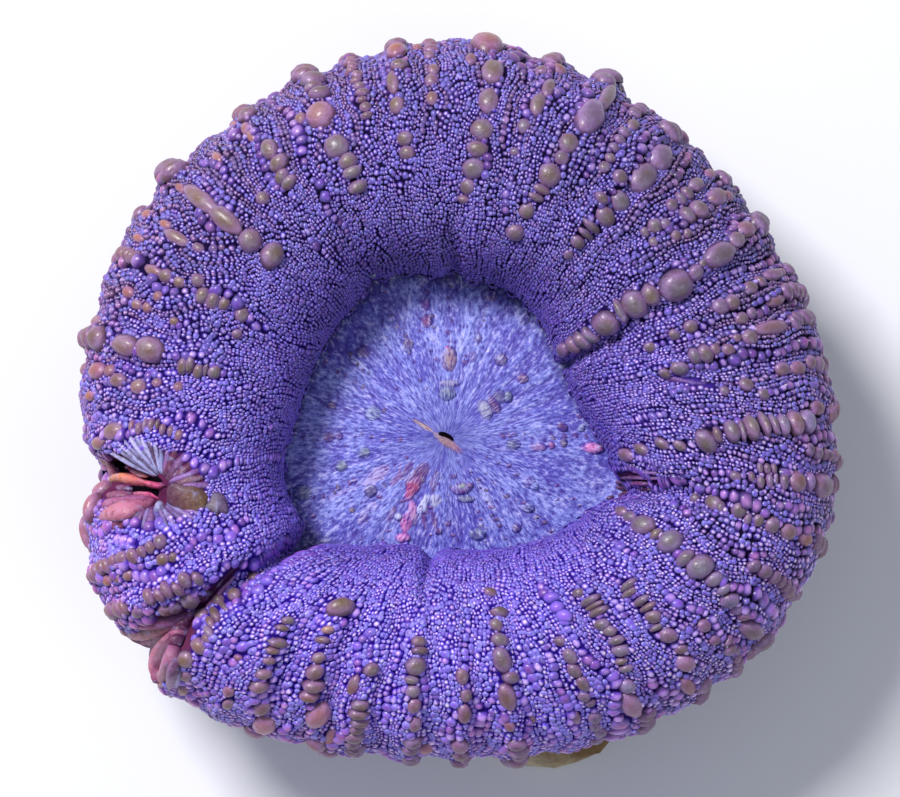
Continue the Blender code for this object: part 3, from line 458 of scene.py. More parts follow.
# Bumps and patches of colour on the disc: middle, two widths in pixels, clockwise turn, height, colour
discSpots = {
    "ovalByMouth": (449, 359, 17, 26, 0, 0.50, "amberOlive"),
    "ovalTop": (448, 350, 9, 8, 0, 0.42, "glowRed"),
    "greenByMouth": (447, 393, 17, 15, 0, 0.40, "paleGreen"), "arc": (449, 383, 20, 8, 0, 0.30, "pearl"),
    "brownTop": (408, 345, 12, 15, 10, 0.40, "brownOlive"),
    "brownUpper": (427, 322, 11, 13, 0, 0.30, "brick"), "plumUpper": (426, 304, 9, 12, 0, 0.20, "plum"),
    "ringLeft": (364, 353, 15, 13, 0, 0.35, "greyPlum"), "ringUpper": (384, 341, 12, 11, 0, 0.30, "plum"),
    "paleLeft": (372, 413, 17, 16, 0, 0.40, "greenLilac"),
    "creamRight": (484, 410, 13, 21, -28, 0.45, "creamGreen"),
    "plumRight": (493, 405, 11, 20, -28, 0.35, "maroonPink"),
    "oliveRight": (500, 396, 13, 14, 0, 0.40, "oliveGrey"), "leafRight": (507, 397, 9, 12, 0, 0.40, "leaf"),
    "brownRight": (500, 360, 13, 13, 0, 0.40, "brownOlive"),
    "brownFar": (522, 379, 12, 11, 0, 0.35, "brownTan"),
    "darkTop": (490, 297, 16, 15, 0, 0.25, "maroonPink"),
    "darkTopRight": (523, 318, 12, 14, 30, 0.25, "maroonPink"),
    "plumTop": (473, 357, 10, 12, 0, 0.20, "plum"), "plumTopTwo": (478, 338, 9, 12, 0, 0.20, "greyPlum"),
    "brownLeft": (329, 437, 11, 10, 0, 0.30, "brownTan"), "plumLeft": (338, 436, 9, 8, 0, 0.30, "plum"),
    "brownLeftUp": (332, 405, 10, 8, 0, 0.20, "brownOlive"),
    "leafLeft": (364, 452, 14, 12, 0, 0.35, "leaf"), "leafLeftLow": (343, 466, 13, 12, 0, 0.35, "leaf"),
    "greyLeft": (303, 493, 20, 16, 0, 0.40, "greyGreen"),
    "oliveLow": (371, 490, 14, 12, -40, 0.35, "oliveGrey"), "yellowLow": (353, 510, 7, 6, 0, 0.25, "ochre"),
    "brickLow": (462, 489, 22, 12, -14, 0.45, "brick"), "limeLow": (462, 486, 10, 6, -20, 0.62, "lime"),
    "amberLow": (470, 486, 7, 5, 0, 0.60, "amber"), "greenLow": (466, 499, 19, 8, 0, 0.35, "greyGreen"),
    "maroonLow": (528, 481, 13, 13, 0, 0.45, "brick"),
    "maroonLowEdge": (534, 486, 10, 8, 20, 0.40, "greenLilac"),
    "greenEast": (512, 445, 15, 11, 0, 0.35, "greyGreen"),
    "roseEast": (538, 447, 18, 9, 0, 0.35, "roseLilac"), "oliveEast": (563, 444, 8, 11, 0, 0.35, "olive"),
    "roseEastRing": (551, 446, 8, 9, 0, 0.30, "rose"),
    "brightPink": (592, 449, 23, 11, 4, 0.75, "pinkGlow"),
    "pinkLow": (403, 538, 15, 10, 0, 0.60, "pinkGlow"),
    "brickEdge": (562, 428, 12, 9, 30, 0.35, "maroonPink"),
    "greenEdge": (581, 428, 8, 8, 0, 0.35, "greenLilac"),
    "greyFront": (477, 533, 17, 12, 0, 0.40, "greyGreen"),
    "greyFrontRight": (528, 507, 12, 9, 0, 0.30, "greyGreen"),
    "plumFront": (516, 527, 10, 10, 0, 0.30, "greyPlum"), "whiteFront": (398, 516, 8, 8, 0, 0.50, "white"),
    "roseFront": (438, 531, 8, 8, 0, 0.35, "maroonPink"), "greenTopLeft": (371, 274, 7, 7, 0, 0.30, "leaf"),
}

def srgb(red, green, blue):   # a colour as a screen shows it, 0 to 255, made linear
    part = np.array([red, green, blue]) / 255
    return np.where(part <= 0.04045, part / 12.92, ((part + 0.055) / 1.055) ** 2.4)


colours = {name: srgb(*shade) for name, shade in {
    # crevice, ultramarine and ink are painted shade for gaps between beads, grooves, creases and dark
    # openings; ultramarine also tints beads blue at the lower left as painted light
    "violet": (106, 76, 200), "deepViolet": (64, 40, 150), "creviceShade": (14, 0, 44),
    "ultramarine": (34, 4, 124), "maroon": (56, 12, 60), "plum": (116, 64, 140), "mauve": (154, 114, 186),
    "lilac": (204, 200, 255), "paleLilac": (150, 152, 206), "lavender": (98, 98, 206),
    "paleLavender": (150, 162, 244), "white": (226, 232, 255), "discSkin": (92, 74, 180),
    "pearl": (168, 162, 200), "lilacGrey": (104, 100, 150), "roseLilac": (168, 124, 180),
    "salmon": (184, 108, 128), "peach": (206, 142, 170), "peachPink": (206, 130, 146),
    "orange": (196, 110, 84), "amber": (168, 112, 104), "red": (176, 56, 78), "brick": (140, 56, 92),
    "drip": (184, 92, 112), "rose": (160, 92, 146), "rosePink": (178, 92, 134), "maroonPink": (98, 34, 76),
    "brownPlum": (96, 40, 76), "olive": (112, 92, 84), "deepOlive": (112, 88, 34),
    "paleOlive": (138, 128, 84), "ochre": (140, 118, 94), "brownOlive": (118, 90, 88),
    "oliveGrey": (112, 104, 116), "greyPlum": (106, 82, 122), "greyGreen": (112, 118, 138),
    "paleGreen": (134, 150, 168), "greenLilac": (150, 164, 200), "creamGreen": (190, 192, 206),
    "brownTan": (134, 94, 112), "brown": (112, 70, 82), "tan": (150, 118, 128), "cream": (240, 204, 172),
    "pinkGlow": (240, 132, 196), "pinkMauve": (180, 96, 170), "magenta": (190, 40, 150),
    "glowMagenta": (232, 20, 190), "glowPink": (236, 74, 150), "glowOrange": (252, 168, 86),
    "glowRed": (222, 60, 84), "leaf": (126, 142, 136), "lime": (180, 196, 120),
    "amberOlive": (176, 136, 116), "ink": (10, 4, 14), "darkBrown": (44, 12, 20),
}.items()}


def smoothStep(value, low, high):
    t = np.clip((value - low) / (high - low), 0.0, 1.0)
    return t * t * (3 - 2 * t)


def angleBetween(a, b):
    return (a - b + 180.0) % 360.0 - 180.0


def around(values, angle):   # a closed smooth curve through values spaced evenly from +X
    count = len(values)
    place = (np.asarray(angle) % 360.0) / 360.0 * count
    first = np.floor(place).astype(int)
    t = place - first
    before, start, end, after = (np.take(values, (first + k) % count) for k in (-1, 0, 1, 2))
    slopeIn = (end - before) / 2
    slopeOut = (after - start) / 2
    return (start * (2 * t**3 - 3 * t**2 + 1) + slopeIn * (t**3 - 2 * t**2 + t)
            + end * (3 * t**2 - 2 * t**3) + slopeOut * (t**3 - t**2))


def planPoint(angle, radius):   # where a point of the mean turned body lies in the uneven plan
    radians = np.radians(angle)
    east = np.cos(radians)
    north = np.sin(radians)
    lipX = flesh["pitCentre"][0] + around(flesh["lip"], angle) * east
    lipY = flesh["pitCentre"][1] + around(flesh["lip"], angle) * north
    edgeX = around(flesh["outline"], angle) * east
    edgeY = around(flesh["outline"], angle) * north
    inside = np.clip(radius / flesh["lipRadius"], 0.0, 1.0)
    across = np.clip((radius - flesh["lipRadius"]) / (2 * halfWidth), 0.0, None)
    mouthX, mouthY = flesh["mouth"]
    return (mouthX + (lipX - mouthX) * inside + (edgeX - lipX) * across,
            mouthY + (lipY - mouthY) * inside + (edgeY - lipY) * across)


def foldDepth(angle, across):
    depth = np.zeros_like(angle)
    for lipAngle, edgeAngle, halfAngle, deep, start, end in flesh["folds"].values():
        line = lipAngle + (edgeAngle - lipAngle) * np.clip(across, 0.0, 1.0)
        ends = smoothStep(across, start - 0.08, start + 0.10) * smoothStep(-across, -end - 0.08, -end + 0.10)
        depth += deep * np.exp(-(angleBetween(angle, line) / halfAngle) ** 2) * ends
    return depth


def ringPlace(direction, distance):   # direction and section angle on the mean ring under a plan point
    angles, across = np.meshgrid(direction + np.linspace(-24, 24, 193), np.linspace(0.0, 1.0, 101))
    planX, planY = planPoint(angles, flesh["lipRadius"] + across * 2 * halfWidth)
    radians = math.radians(direction)
    miss = np.hypot(planX - distance * math.cos(radians), planY - distance * math.sin(radians))
    best = np.unravel_index(np.argmin(miss), miss.shape)
    return angles[best], math.degrees(math.acos(2 * across[best] - 1))


def layRows():
    rows = []
    for inDirection, inRadius, outDirection, outRadius, sizes, apart, tints in bladderRows.values():
        startAngle, startTurn = ringPlace(inDirection, inRadius)
        endAngle, endTurn = ringPlace(outDirection, outRadius)
        if endTurn < 40.0:   # rows that reach the edge run a little way down the flank
            endTurn = min(endTurn, 20.0) - 14.0
        rows.append((startAngle, startTurn, endAngle, endTurn, sizes, apart, tints))
    return rows


rows = layRows()


def ridgeHeight(angle, turn):
    height = np.zeros_like(angle)
    for startAngle, startTurn, endAngle, endTurn, sizes, _, _ in rows:
        share = (startTurn - turn) / (startTurn - endTurn)
        line = startAngle + (endAngle - startAngle) * np.clip(share, 0.0, 1.0)
        size = np.interp(share, (0.0, 0.5, 1.0), sizes)
        radius = ringRadius + halfWidth * np.cos(np.radians(turn))
        beside = np.radians(angleBetween(angle, line)) * radius / (size * 0.52)
        ends = smoothStep(share, -0.08, 0.06) * smoothStep(-share, -1.08, -0.94)
        height = np.maximum(height, 0.22 * size * np.exp(-(beside**2)) * ends)
    return height


def shapeFlesh(x, y, z):   # the mean turned body made uneven, as the CAD body is
    radius = np.hypot(x, y)
    angle = np.degrees(np.arctan2(y, x))
    out = (radius - ringRadius) / halfWidth
    up = (z - flesh["equator"]) / halfHeight
    reach = np.hypot(out, up)
    onRing = smoothStep(-reach, -1.08, -1.01) * smoothStep(reach, 0.90, 0.98) * smoothStep(z, 9.5, 13.0)
    turn = np.degrees(np.arctan2(up, out))
    septa = flesh["septaHeight"] * np.cos(np.radians(flesh["septa"] * angle))
    septa = septa * smoothStep(-turn, -150.0, -95.0)   # only on the inner wall
    push = (ridgeHeight(angle, turn) + septa - foldDepth(angle, (1 + out) / 2)) * onRing / halfWidth
    radius = radius + (radius - ringRadius) * push
    z = z + (z - flesh["equator"]) * push
    for waves, high, phase in flesh["swells"]:
        z = z + high * np.cos(np.radians(waves * angle + phase)) * smoothStep(z, 16.0, 23.0)
    hem = smoothStep(radius, 24.4, 26.4) * smoothStep(-z, -9.5, -7.5)
    wave = np.cos(np.radians(flesh["hemWaves"] * angle + 90 * np.sin(np.radians(2 * angle))))
    z = z + flesh["hemHeight"] * wave * hem
    planX, planY = planPoint(angle, radius)
    return np.stack([planX, planY, z], axis=-1)


# The section runs from the mouth over the disc, up the inner wall, over the crest and down the flank
def fleshSection():
    turn = np.radians(ringTurns)
    radius = ringRadius + halfWidth * np.cos(turn)
    height = flesh["equator"] + halfHeight * np.sin(turn)
    ring = np.stack([radius, height], axis=1)
    discRadius = np.linspace(0.0, ring[0, 0], discSteps + 1)[:-1]
    discHeight = ring[0, 1] + flesh["discRise"] * (1 - (discRadius / ring[0, 0]) ** 2)
    return np.vstack([np.stack([discRadius, discHeight], axis=1), ring])


section = fleshSection()
sectionLength = np.concatenate([[0.0], np.cumsum(np.hypot(*np.diff(section, axis=0).T))])
wholeLength = sectionLength[-1]
lipAlong = sectionLength[discSteps]   # where the inner wall rises from the disc


def fleshPoint(angle, along):   # a point of the skin: direction and distance along the section
    radius = np.interp(along, sectionLength, section[:, 0])
    height = np.interp(along, sectionLength, section[:, 1])
    radians = np.radians(angle)
    return shapeFlesh(radius * np.cos(radians), radius * np.sin(radians), height)


def fleshFrame(angle, along):   # point, step per degree round, step per millimetre along, outward normal
    here = fleshPoint(angle, along)
    rounds = (fleshPoint(angle + 0.2, along) - fleshPoint(angle - 0.2, along)) / 0.4
    alongs = (fleshPoint(angle, along + 0.06) - fleshPoint(angle, along - 0.06)) / 0.12
    normal = np.cross(alongs, rounds)
    return here, rounds, alongs, normal / np.linalg.norm(normal, axis=-1, keepdims=True)


def turnAlong(turn):   # distance along the section for a section angle of the ring
    share = (flesh["undercut"] - turn) / (flesh["undercut"] - flesh["hem"])
    place = np.clip(share, 0, 1) * (len(ringTurns) - 1) + discSteps
    return np.interp(place, np.arange(len(section)), sectionLength)


def makeMesh(name, points, faces):
    mesh = bpy.data.meshes.new(name)
    points = np.asarray(points, np.float32) * mm
    faces = np.asarray(faces, np.int32)
    mesh.vertices.add(len(points))
    mesh.vertices.foreach_set("co", points.ravel())
    mesh.loops.add(faces.size)
    mesh.loops.foreach_set("vertex_index", faces.ravel())
    mesh.polygons.add(len(faces))
    mesh.polygons.foreach_set("loop_start", np.arange(0, faces.size, faces.shape[1], dtype=np.int32))
    mesh.update(calc_edges=True)
    mesh.shade_smooth()
    obj = bpy.data.objects.new(name, mesh)
    bpy.context.scene.collection.objects.link(obj)
    return obj


def paint(obj, tones):   # one colour for each point
    layer = obj.data.attributes.new("tint", "FLOAT_COLOR", "POINT")
    values = np.concatenate([tones, np.ones((len(tones), 1))], axis=1)
    layer.data.foreach_set("color", values.astype(np.float32).ravel())


def layMap(obj, places):   # the map for baking, one place for each corner of each face
    layer = obj.data.uv_layers.new(name="OFBake")
    layer.data.foreach_set("uv", np.asarray(places, np.float32).ravel())


class Wire:                      # one output socket, which can be scaled by a number or by another
    def __init__(self, material, socket):
        self.material = material
        self.socket = socket

    def maths(self, operation, *values):
        return self.material.add("ShaderNodeMath", {"operation": operation}, dict(enumerate(values)))

    def __mul__(self, other):
        return self.maths("MULTIPLY", self, other)

    def __rmul__(self, other):
        return self.maths("MULTIPLY", other, self)


class Finish:                    # a material and the nodes that make it
    def __init__(self, name):
        self.data = bpy.data.materials.new(name)
        self.data.use_nodes = True
        self.tree = self.data.node_tree
        self.shader = self.tree.nodes["Principled BSDF"]

    def add(self, kind, settings, values, out=0):
        node = self.tree.nodes.new(kind)
        for key, value in settings.items():
            if key == "stops":
                ramp = node.color_ramp
                while len(ramp.elements) < len(value):
                    ramp.elements.new(0.5)
                for element, (place, level) in zip(ramp.elements, value):
                    element.position = place
                    element.color = (level, level, level, 1.0)
            else:
                setattr(node, key, value)
        for key, value in values.items():
            self.feed(node.inputs[key], value)
        return Wire(self, node.outputs[out])

    def feed(self, socket, value):
        if isinstance(value, Wire):
            self.tree.links.new(value.socket, socket)
        elif socket.type == "RGBA" and len(value) == 3:
            socket.default_value = (*value, 1.0)
        else:
            socket.default_value = value

    def set(self, **values):     # Base_Color=... stands for the socket Base Color
        for key, value in values.items():
            self.feed(self.shader.inputs[key.replace("_", " ")], value)

    def mix(self, start, end, factor, mode="MIX"):
        settings = {"data_type": "RGBA", "blend_type": mode}
        return self.add("ShaderNodeMix", settings, {0: factor, 6: start, 7: end}, out=2)

    def ramp(self, value, *stops):
        return self.add("ShaderNodeValToRGB", {"stops": stops}, {"Fac": value})

    def noise(self, scale, detail=3.0, roughness=0.5, where=None):
        where = where or self.add("ShaderNodeTexCoord", {}, {}, out="Object")
        return self.add("ShaderNodeTexNoise", {}, {"Vector": where, "Scale": scale, "Detail": detail,
                                                   "Roughness": roughness})

    def vector(self, operation, *values):
        return self.add("ShaderNodeVectorMath", {"operation": operation}, dict(enumerate(values)))

    def painted(self):
        return self.add("ShaderNodeAttribute", {"attribute_name": "tint"}, {}, out="Color")

    def bump(self, height, strength, distance):
        self.set(Normal=self.add("ShaderNodeBump", {}, {"Height": height, "Strength": strength,
                                                        "Distance": distance}, out="Normal"))


def dress(obj, finish, node):
    obj.data.materials.clear()
    obj.data.materials.append(finish.data)
    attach(obj, "root")
    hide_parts(node)


def project(points):   # where the camera sees points, in pixels
    tilt = math.radians(studio["elevation"])
    toCamera = np.array([0.0, -math.cos(tilt), math.sin(tilt)])
    upward = np.array([0.0, math.sin(tilt), math.cos(tilt)])
    offset = points - np.array(studio["lookAt"])
    scale = studio["pixelsPerMm"] / (1 - offset @ toCamera / studio["distance"])
    wide, high = studio["picture"]
    return wide / 2 + offset[..., 0] * scale, high / 2 - offset @ upward * scale


def unit(way):
    return way / np.linalg.norm(way, axis=-1, keepdims=True)


def blend(start, end, amount):   # a colour or one for each row, towards another by one amount for each row
    return start + (end - start) * np.atleast_1d(np.clip(amount, 0, 1))[:, None]


# The skin that the camera sees, as a grid of directions and distances along the section
seenAngles = np.arange(0.0, 360.0, 0.5)
seenAlongs = np.arange(0.2, turnAlong(-20.0), 0.2)
seenPoints = np.array([fleshPoint(seenAngles, np.full_like(seenAngles, along)) for along in seenAlongs])
seenX, seenY = project(seenPoints)
pixel = 1 / studio["pixelsPerMm"]


def onSkin(x, y):   # direction and distance along the section of the skin seen at a pixel
    row, column = np.unravel_index(np.argmin((seenX - x) ** 2 + (seenY - y) ** 2), seenX.shape)
    return seenAngles[column], seenAlongs[row]


def turnAt(along):   # section angle of the ring at a distance along the section
    return np.interp(along, sectionLength[discSteps:], ringTurns)


def inPlace(points, place):   # 1 inside a smooth place and 0 outside it and low on the flank
    (midX, midY), (long, short), turn, _ = place
    x, y = project(points)
    dx = x - midX
    dy = y - midY
    cos = math.cos(math.radians(turn))
    sin = math.sin(math.radians(turn))
    reach = np.hypot((dx * cos + dy * sin) / long, (dy * cos - dx * sin) / short)
    return (1 - smoothStep(reach, 0.9, 1.05)) * (points[..., 2] > lowestSmooth)


# Rays start at the mouth and split as the flesh widens. The beads lie on them, from the foot of
# the inner wall to the hem. Sizes are in millimetres
beads = {
    "rays": 400,
    "splits": (1.1, 3.2, 6.6),   # distance from the mouth where the first rays start, and where they double
    "lastSplit": (10.0, 30.0),   # distance along the section over which the last doubling comes in
    "strong": (1.7, 0.92, 0.86, 0.95, 1.15, 0.86, 0.95, 0.92),   # widths round each ridge, from its middle
    "strongFrom": (18.0, 30.0),  # distance along the section over which those widths come in
    "groupLuck": (0.78, 1.22),   # how much the strong rays differ
    "uneven": 0.17,
    "ripple": 0.16,              # how much a ray widens and narrows along its way
    "least": 0.15,               # a ray narrower than this has no beads yet
    "narrowest": 0.30,           # no bead is drawn narrower than this
    "wallLength": 0.40,
    "lengths": (0.32, 1.2),
    "coarse": 0.60,              # beads wider than this have more faces
    "coarseSides": 8,
    "fineSides": 7,
    "mostFaces": 190000,         # in one piece
    "half": 0.66,                # half a bead's width, as a share of its place: neighbours touch
    "rough": 0.10,
    "wander": 1.1,               # degrees that the lines of beads stray
    "jitter": 0.11,
    "ringHeight": 0.95,
    "heights": (0.75, 1.3),
    "sizes": (0.84, 1.16),
    "lean": 0.14,
    "foot": 198.0,               # section angle of the lowest beads on the inner wall
    "bodyHue": (0.88, 0.90, 1.34),
    "tipHue": (1.26, 1.00, 1.10),
}


def softNoise(angle, along, seed):   # slow unevenness over the skin, about -1 to 1
    turns = np.radians(angle)
    parts = ((3, 0.21), (5, -0.34), (8, 0.48), (13, -0.55), (21, 0.8))
    total = sum(np.sin(n * turns + f * along + seed * (1.7 + n)) for n, f in parts)
    return total / 2.2


def layRays():
    count = beads["rays"]
    index = np.arange(count)
    along = np.arange(0.9, wholeLength - 0.3, 0.15)
    level = np.where(index % 2 == 1, 3, np.where(index % 4 == 2, 2, np.where(index % 8 == 4, 1, 0)))
    grow = smoothStep(along, *beads["strongFrom"])
    strong = np.array(beads["strong"])[index % 8]
    groupLuck = np.repeat(dice.uniform(*beads["groupLuck"], count // 8), 8)
    strong = 1 + (strong - 1) * np.where(strong > 1, groupLuck, 1.0)
    uneven = (1 + beads["uneven"] * dice.standard_normal(count)).clip(0.6, 1.5)
    weight = (1 + (strong[:, None] - 1) * (0.25 + 0.75 * grow)) * uneven[:, None]
    starts = np.array(beads["splits"] + (0.0,))[level]
    late = dice.uniform(*beads["lastSplit"], count)
    starts = np.where(level == 3, late, starts * dice.uniform(0.85, 1.2, count))
    ease = np.where(level == 3, 2.6, 1.0)
    presence = smoothStep(along[None, :], starts[:, None] - ease[:, None], starts[:, None] + ease[:, None])
    pace = dice.uniform(0.5, 1.4, count)[:, None]
    ripple = 1 + beads["ripple"] * np.sin(along[None, :] * pace + index[:, None] * 2.4)
    share = weight * ripple * (0.01 + 0.99 * presence)
    total = share.sum(axis=0)
    upper = np.cumsum(share, axis=0) / total * 360.0
    lower = upper - share / total * 360.0
    stray = beads["wander"] * smoothStep(along, 3.0, 12.0)
    lower, upper = (edge + stray * softNoise(edge, along[None, :], 2.0) for edge in (lower, upper))
    return along, (lower + upper) / 2, upper - lower, presence


def beadLength(wide, along):   # along its ray: short on the inner wall, longer on the flank
    turn = turnAt(along)
    if turn > 125.0:
        return beads["wallLength"] * dice.uniform(0.8, 1.25)
    stretch = 1.0 + 0.5 * float(smoothStep(-turn, 5.0, 25.0))
    return float(np.clip(wide ** 0.75 * dice.uniform(0.68, 1.08), *beads["lengths"])) * stretch


def layBeads():
    along, angle, width, presence = layRays()
    found = {"angle": [], "along": [], "across": [], "step": [], "ray": []}
    for ray in range(beads["rays"]):
        _, rounds, alongs, _ = fleshFrame(angle[ray], along)
        across = width[ray] * np.linalg.norm(rounds, axis=1)
        stretch = np.linalg.norm(alongs, axis=1)
        begun = (across > beads["least"]) & (presence[ray] > 0.4) & (along > lipAlong - 0.3)
        here = along[int(np.argmax(begun))] + dice.uniform(0, 0.4)
        while here < along[-1]:
            wide = float(np.interp(here, along, across))
            long = beadLength(max(wide, beads["narrowest"]), here)
            step = long / float(np.interp(here, along, stretch))
            if wide > beads["least"] * 0.8:
                found["angle"].append(np.interp(here + step / 2, along, angle[ray]))
                found["along"].append(here + step / 2)
                found["across"].append(max(wide, beads["narrowest"]))
                found["step"].append(long)
                found["ray"].append(ray)
            here += step
    return {key: np.array(value) for key, value in found.items()}


def layBladders():   # the named bladders first, then those of the rows that stand clear of them
    found = {"angle": [], "along": [], "across": [], "step": [], "tint": []}

    def add(angle, along, across, step, tint):
        for key, value in zip(found, (angle, along, across, step, tint)):
            found[key].append(value)

    for row in namedBladders.values():
        for x, y, across, long, tint in row:
            angle, along = onSkin(x, y)
            _, rounds, alongs, _ = fleshFrame(np.array([angle]), np.array([along]))
            shown = []
            for way in (unit(rounds)[0], unit(alongs)[0]):   # a sloping one looks shorter than it is
                spread = np.hypot(*(b - a for a, b in zip(project(np.zeros(3)), project(way))))
                shown.append(max(spread * pixel, 0.55))
            add(angle, along, across * pixel / shown[0], long * pixel / shown[1], colours[tint])
    named = fleshPoint(np.array(found["angle"]), np.array(found["along"]))
    namedSize = (np.array(found["across"]) + np.array(found["step"])) / 2
    smooth = list(smoothPlaces.values())
    for startAngle, startTurn, endAngle, endTurn, sizes, apart, tints in rows:
        turn = startTurn
        while turn > endTurn:
            share = (startTurn - turn) / (startTurn - endTurn)
            size = np.interp(share, (0.0, 0.5, 1.0), sizes) * dice.uniform(0.80, 1.12)
            step = size * apart * dice.uniform(0.5, 1.0)
            shades = np.array([colours[t] * 0.5 + colours["greyPlum"] * 0.5 for t in tints])
            tint = np.array([np.interp(share, (0.0, 0.5, 1.0), shades[:, k]) for k in range(3)])
            angle = startAngle + (endAngle - startAngle) * share + dice.normal(0, 0.3)
            along = turnAlong(turn - math.degrees(step / 2 / halfWidth))
            turn -= math.degrees(step / halfWidth)
            point = fleshPoint(np.array([angle]), np.array([along]))
            clear = np.linalg.norm(named - point, axis=1) > namedSize * 0.5 + size * 0.45
            if clear.all() and all(inPlace(point, place)[0] < 0.5 for place in smooth):
                add(angle, along, size, step, tint)
    return {key: np.array(value) for key, value in found.items()}


def domes(name, centre, across, along, up, shades, sides, levels, rough=0.0):
    # levels holds each ring of points from the tip down: reach, height, and tone from foot to tip.
    # shades holds three colours for each dome: its foot, its body and its tip.
    # Every dome has its own round place in the map: the tip in the middle, its foot outermost.
    count, rings = len(centre), len(levels)
    circle = np.arange(sides) / sides * 2 * math.pi
    shape = [(0.0, 0.0, 1.0, 1.0, 0.0)]
    for step, (wide, high, tip) in enumerate(levels):
        for a in circle + (step % 2) * math.pi / sides:
            shape.append((wide * math.cos(a), wide * math.sin(a), high, tip, (step + 1) / rings))
    shape = np.array(shape)
    swell = 1 + rough * dice.standard_normal((count, len(shape), 1)).clip(-2, 2)
    points = (centre[:, None, :] + shape[None, :, 0:1] * swell * across[:, None, :]
              + shape[None, :, 1:2] * swell * along[:, None, :] + shape[None, :, 2:3] * up[:, None, :])
    faces = [(0, 1 + k, 1 + (k + 1) % sides) for k in range(sides)]
    for step in range(1, rings):
        inner = 1 + (step - 1) * sides
        outer = inner + sides
        for k in range(sides):
            ahead = (k + 1) % sides
            a, b, c, d = inner + k, inner + ahead, outer + k, outer + ahead
            faces += [(a, c, b), (b, c, d)] if step % 2 else [(a, d, b), (a, c, d)]
    faces = np.array(faces)
    allFaces = (faces[None] + np.arange(count)[:, None, None] * len(shape)).reshape(-1, 3)
    obj = makeMesh(name, points.reshape(-1, 3), allFaces)
    level = shape[None, :, 3, None]
    foot, body, tip = (shades[:, k][:, None, :] for k in range(3))
    lower = foot + (body - foot) * np.clip(level * 2, 0, 1)
    tone = lower + (tip - body) * np.clip(level * 2 - 1, 0, 1)
    paint(obj, tone.reshape(-1, 3))
    grid = math.ceil(math.sqrt(count))
    cell = np.stack([np.arange(count) % grid, np.arange(count) // grid], axis=1) + 0.5
    flat = np.hypot(shape[:, 0], shape[:, 1])
    aim = shape[:, :2] / np.maximum(flat, 1e-9)[:, None] * shape[:, 4:5] * 0.44
    places = (cell[:, None, :] + aim[None]) / grid
    layMap(obj, places.reshape(-1, 2)[allFaces.ravel()])
    print(name, len(allFaces))
    return obj


fineDome = ((0.70, 0.74, 0.38), (1.0, -0.24, 0.0))
coarseDome = ((0.45, 0.90, 0.78), (0.80, 0.54, 0.34), (1.0, -0.24, 0.0))
bladderDome = ((0.30, 0.97, 0.95), (0.58, 0.84, 0.78), (0.82, 0.56, 0.50), (0.95, 0.22, 0.20),
               (1.0, -0.12, 0.0))

skin = {"around": 400, "ring": 102}
disc = {
    "around": 520,
    "rows": 72,
    "ribs": 26,
    "ribHeight": 0.10,
    "lift": 0.04,        # over the flesh, so that the two don't share a face
    "dashHeight": 0.09,
    "spotHalf": 0.56,    # half-width of a spot's dome, as a share of the spot
}
# A low black dome on the disc, painted as the shadow inside the mouth
mouthShadow = {   # in millimetres but for the pixel
    "pixel": (446, 436),
    "long": (0.66, -0.32, 0.0),
    "short": (0.12, 0.30, 0.0),
    "lift": 0.12,
    "height": 0.06,
}


def layGrid(obj, wide, count):   # the map of a grid of faces, row after row
    u = np.arange(wide) / wide
    v = np.linspace(0.002, 0.998, count)
    ahead = u + 1 / wide
    sides = ((u, v[:-1]), (u, v[1:]), (ahead, v[1:]), (ahead, v[:-1]))
    corners = [np.stack(np.meshgrid(*side), axis=-1) for side in sides]
    layMap(obj, np.stack(corners, axis=2).reshape(-1, 2))


def gridFaces(count, wide):   # the faces between rings of points
    index = np.arange(count * wide).reshape(count, wide)
    ahead = np.roll(index, -1, axis=1)
    return np.stack([index[:-1], index[1:], ahead[1:], ahead[:-1]], axis=-1).reshape(-1, 4)


def makeDisc():   # the disc round the mouth, with low ribs
    angle = np.arange(disc["around"]) / disc["around"] * 360.0
    points = []
    tones = []
    for along in np.linspace(0.12, lipAlong + 0.5, disc["rows"]):
        here, _, _, up = fleshFrame(angle, np.full_like(angle, along))
        uneven = softNoise(angle, along, 7.0)
        rib = 0.5 + 0.5 * np.cos(np.radians(angle * disc["ribs"]) + 1.6 * uneven)
        grow = smoothStep(along, 2.0, 6.5) * (1 - smoothStep(along, lipAlong - 1.5, lipAlong))
        points.append(here + up * (disc["lift"] + disc["ribHeight"] * rib * grow)[:, None])
        tone = blend(colours["lavender"], colours["paleLavender"], 0.30 + 0.30 * uneven)
        tone = blend(tone, colours["discSkin"], 0.5 * (1 - rib) ** 2 * grow)
        # painted shadow under the lip at the top and the left
        shaded = np.maximum(smoothStep(here[:, 1], -6.0, 4.0), smoothStep(-here[:, 0], 6.0, 12.0))
        shaded = shaded * smoothStep(along, lipAlong - 1.6, lipAlong)
        tones.append(blend(tone, colours["creviceShade"], shaded))
    obj = makeMesh("discSkin", np.vstack(points), gridFaces(disc["rows"], disc["around"]))
    paint(obj, np.vstack(tones).clip(0, 1))
    layGrid(obj, disc["around"], disc["rows"])
    return obj


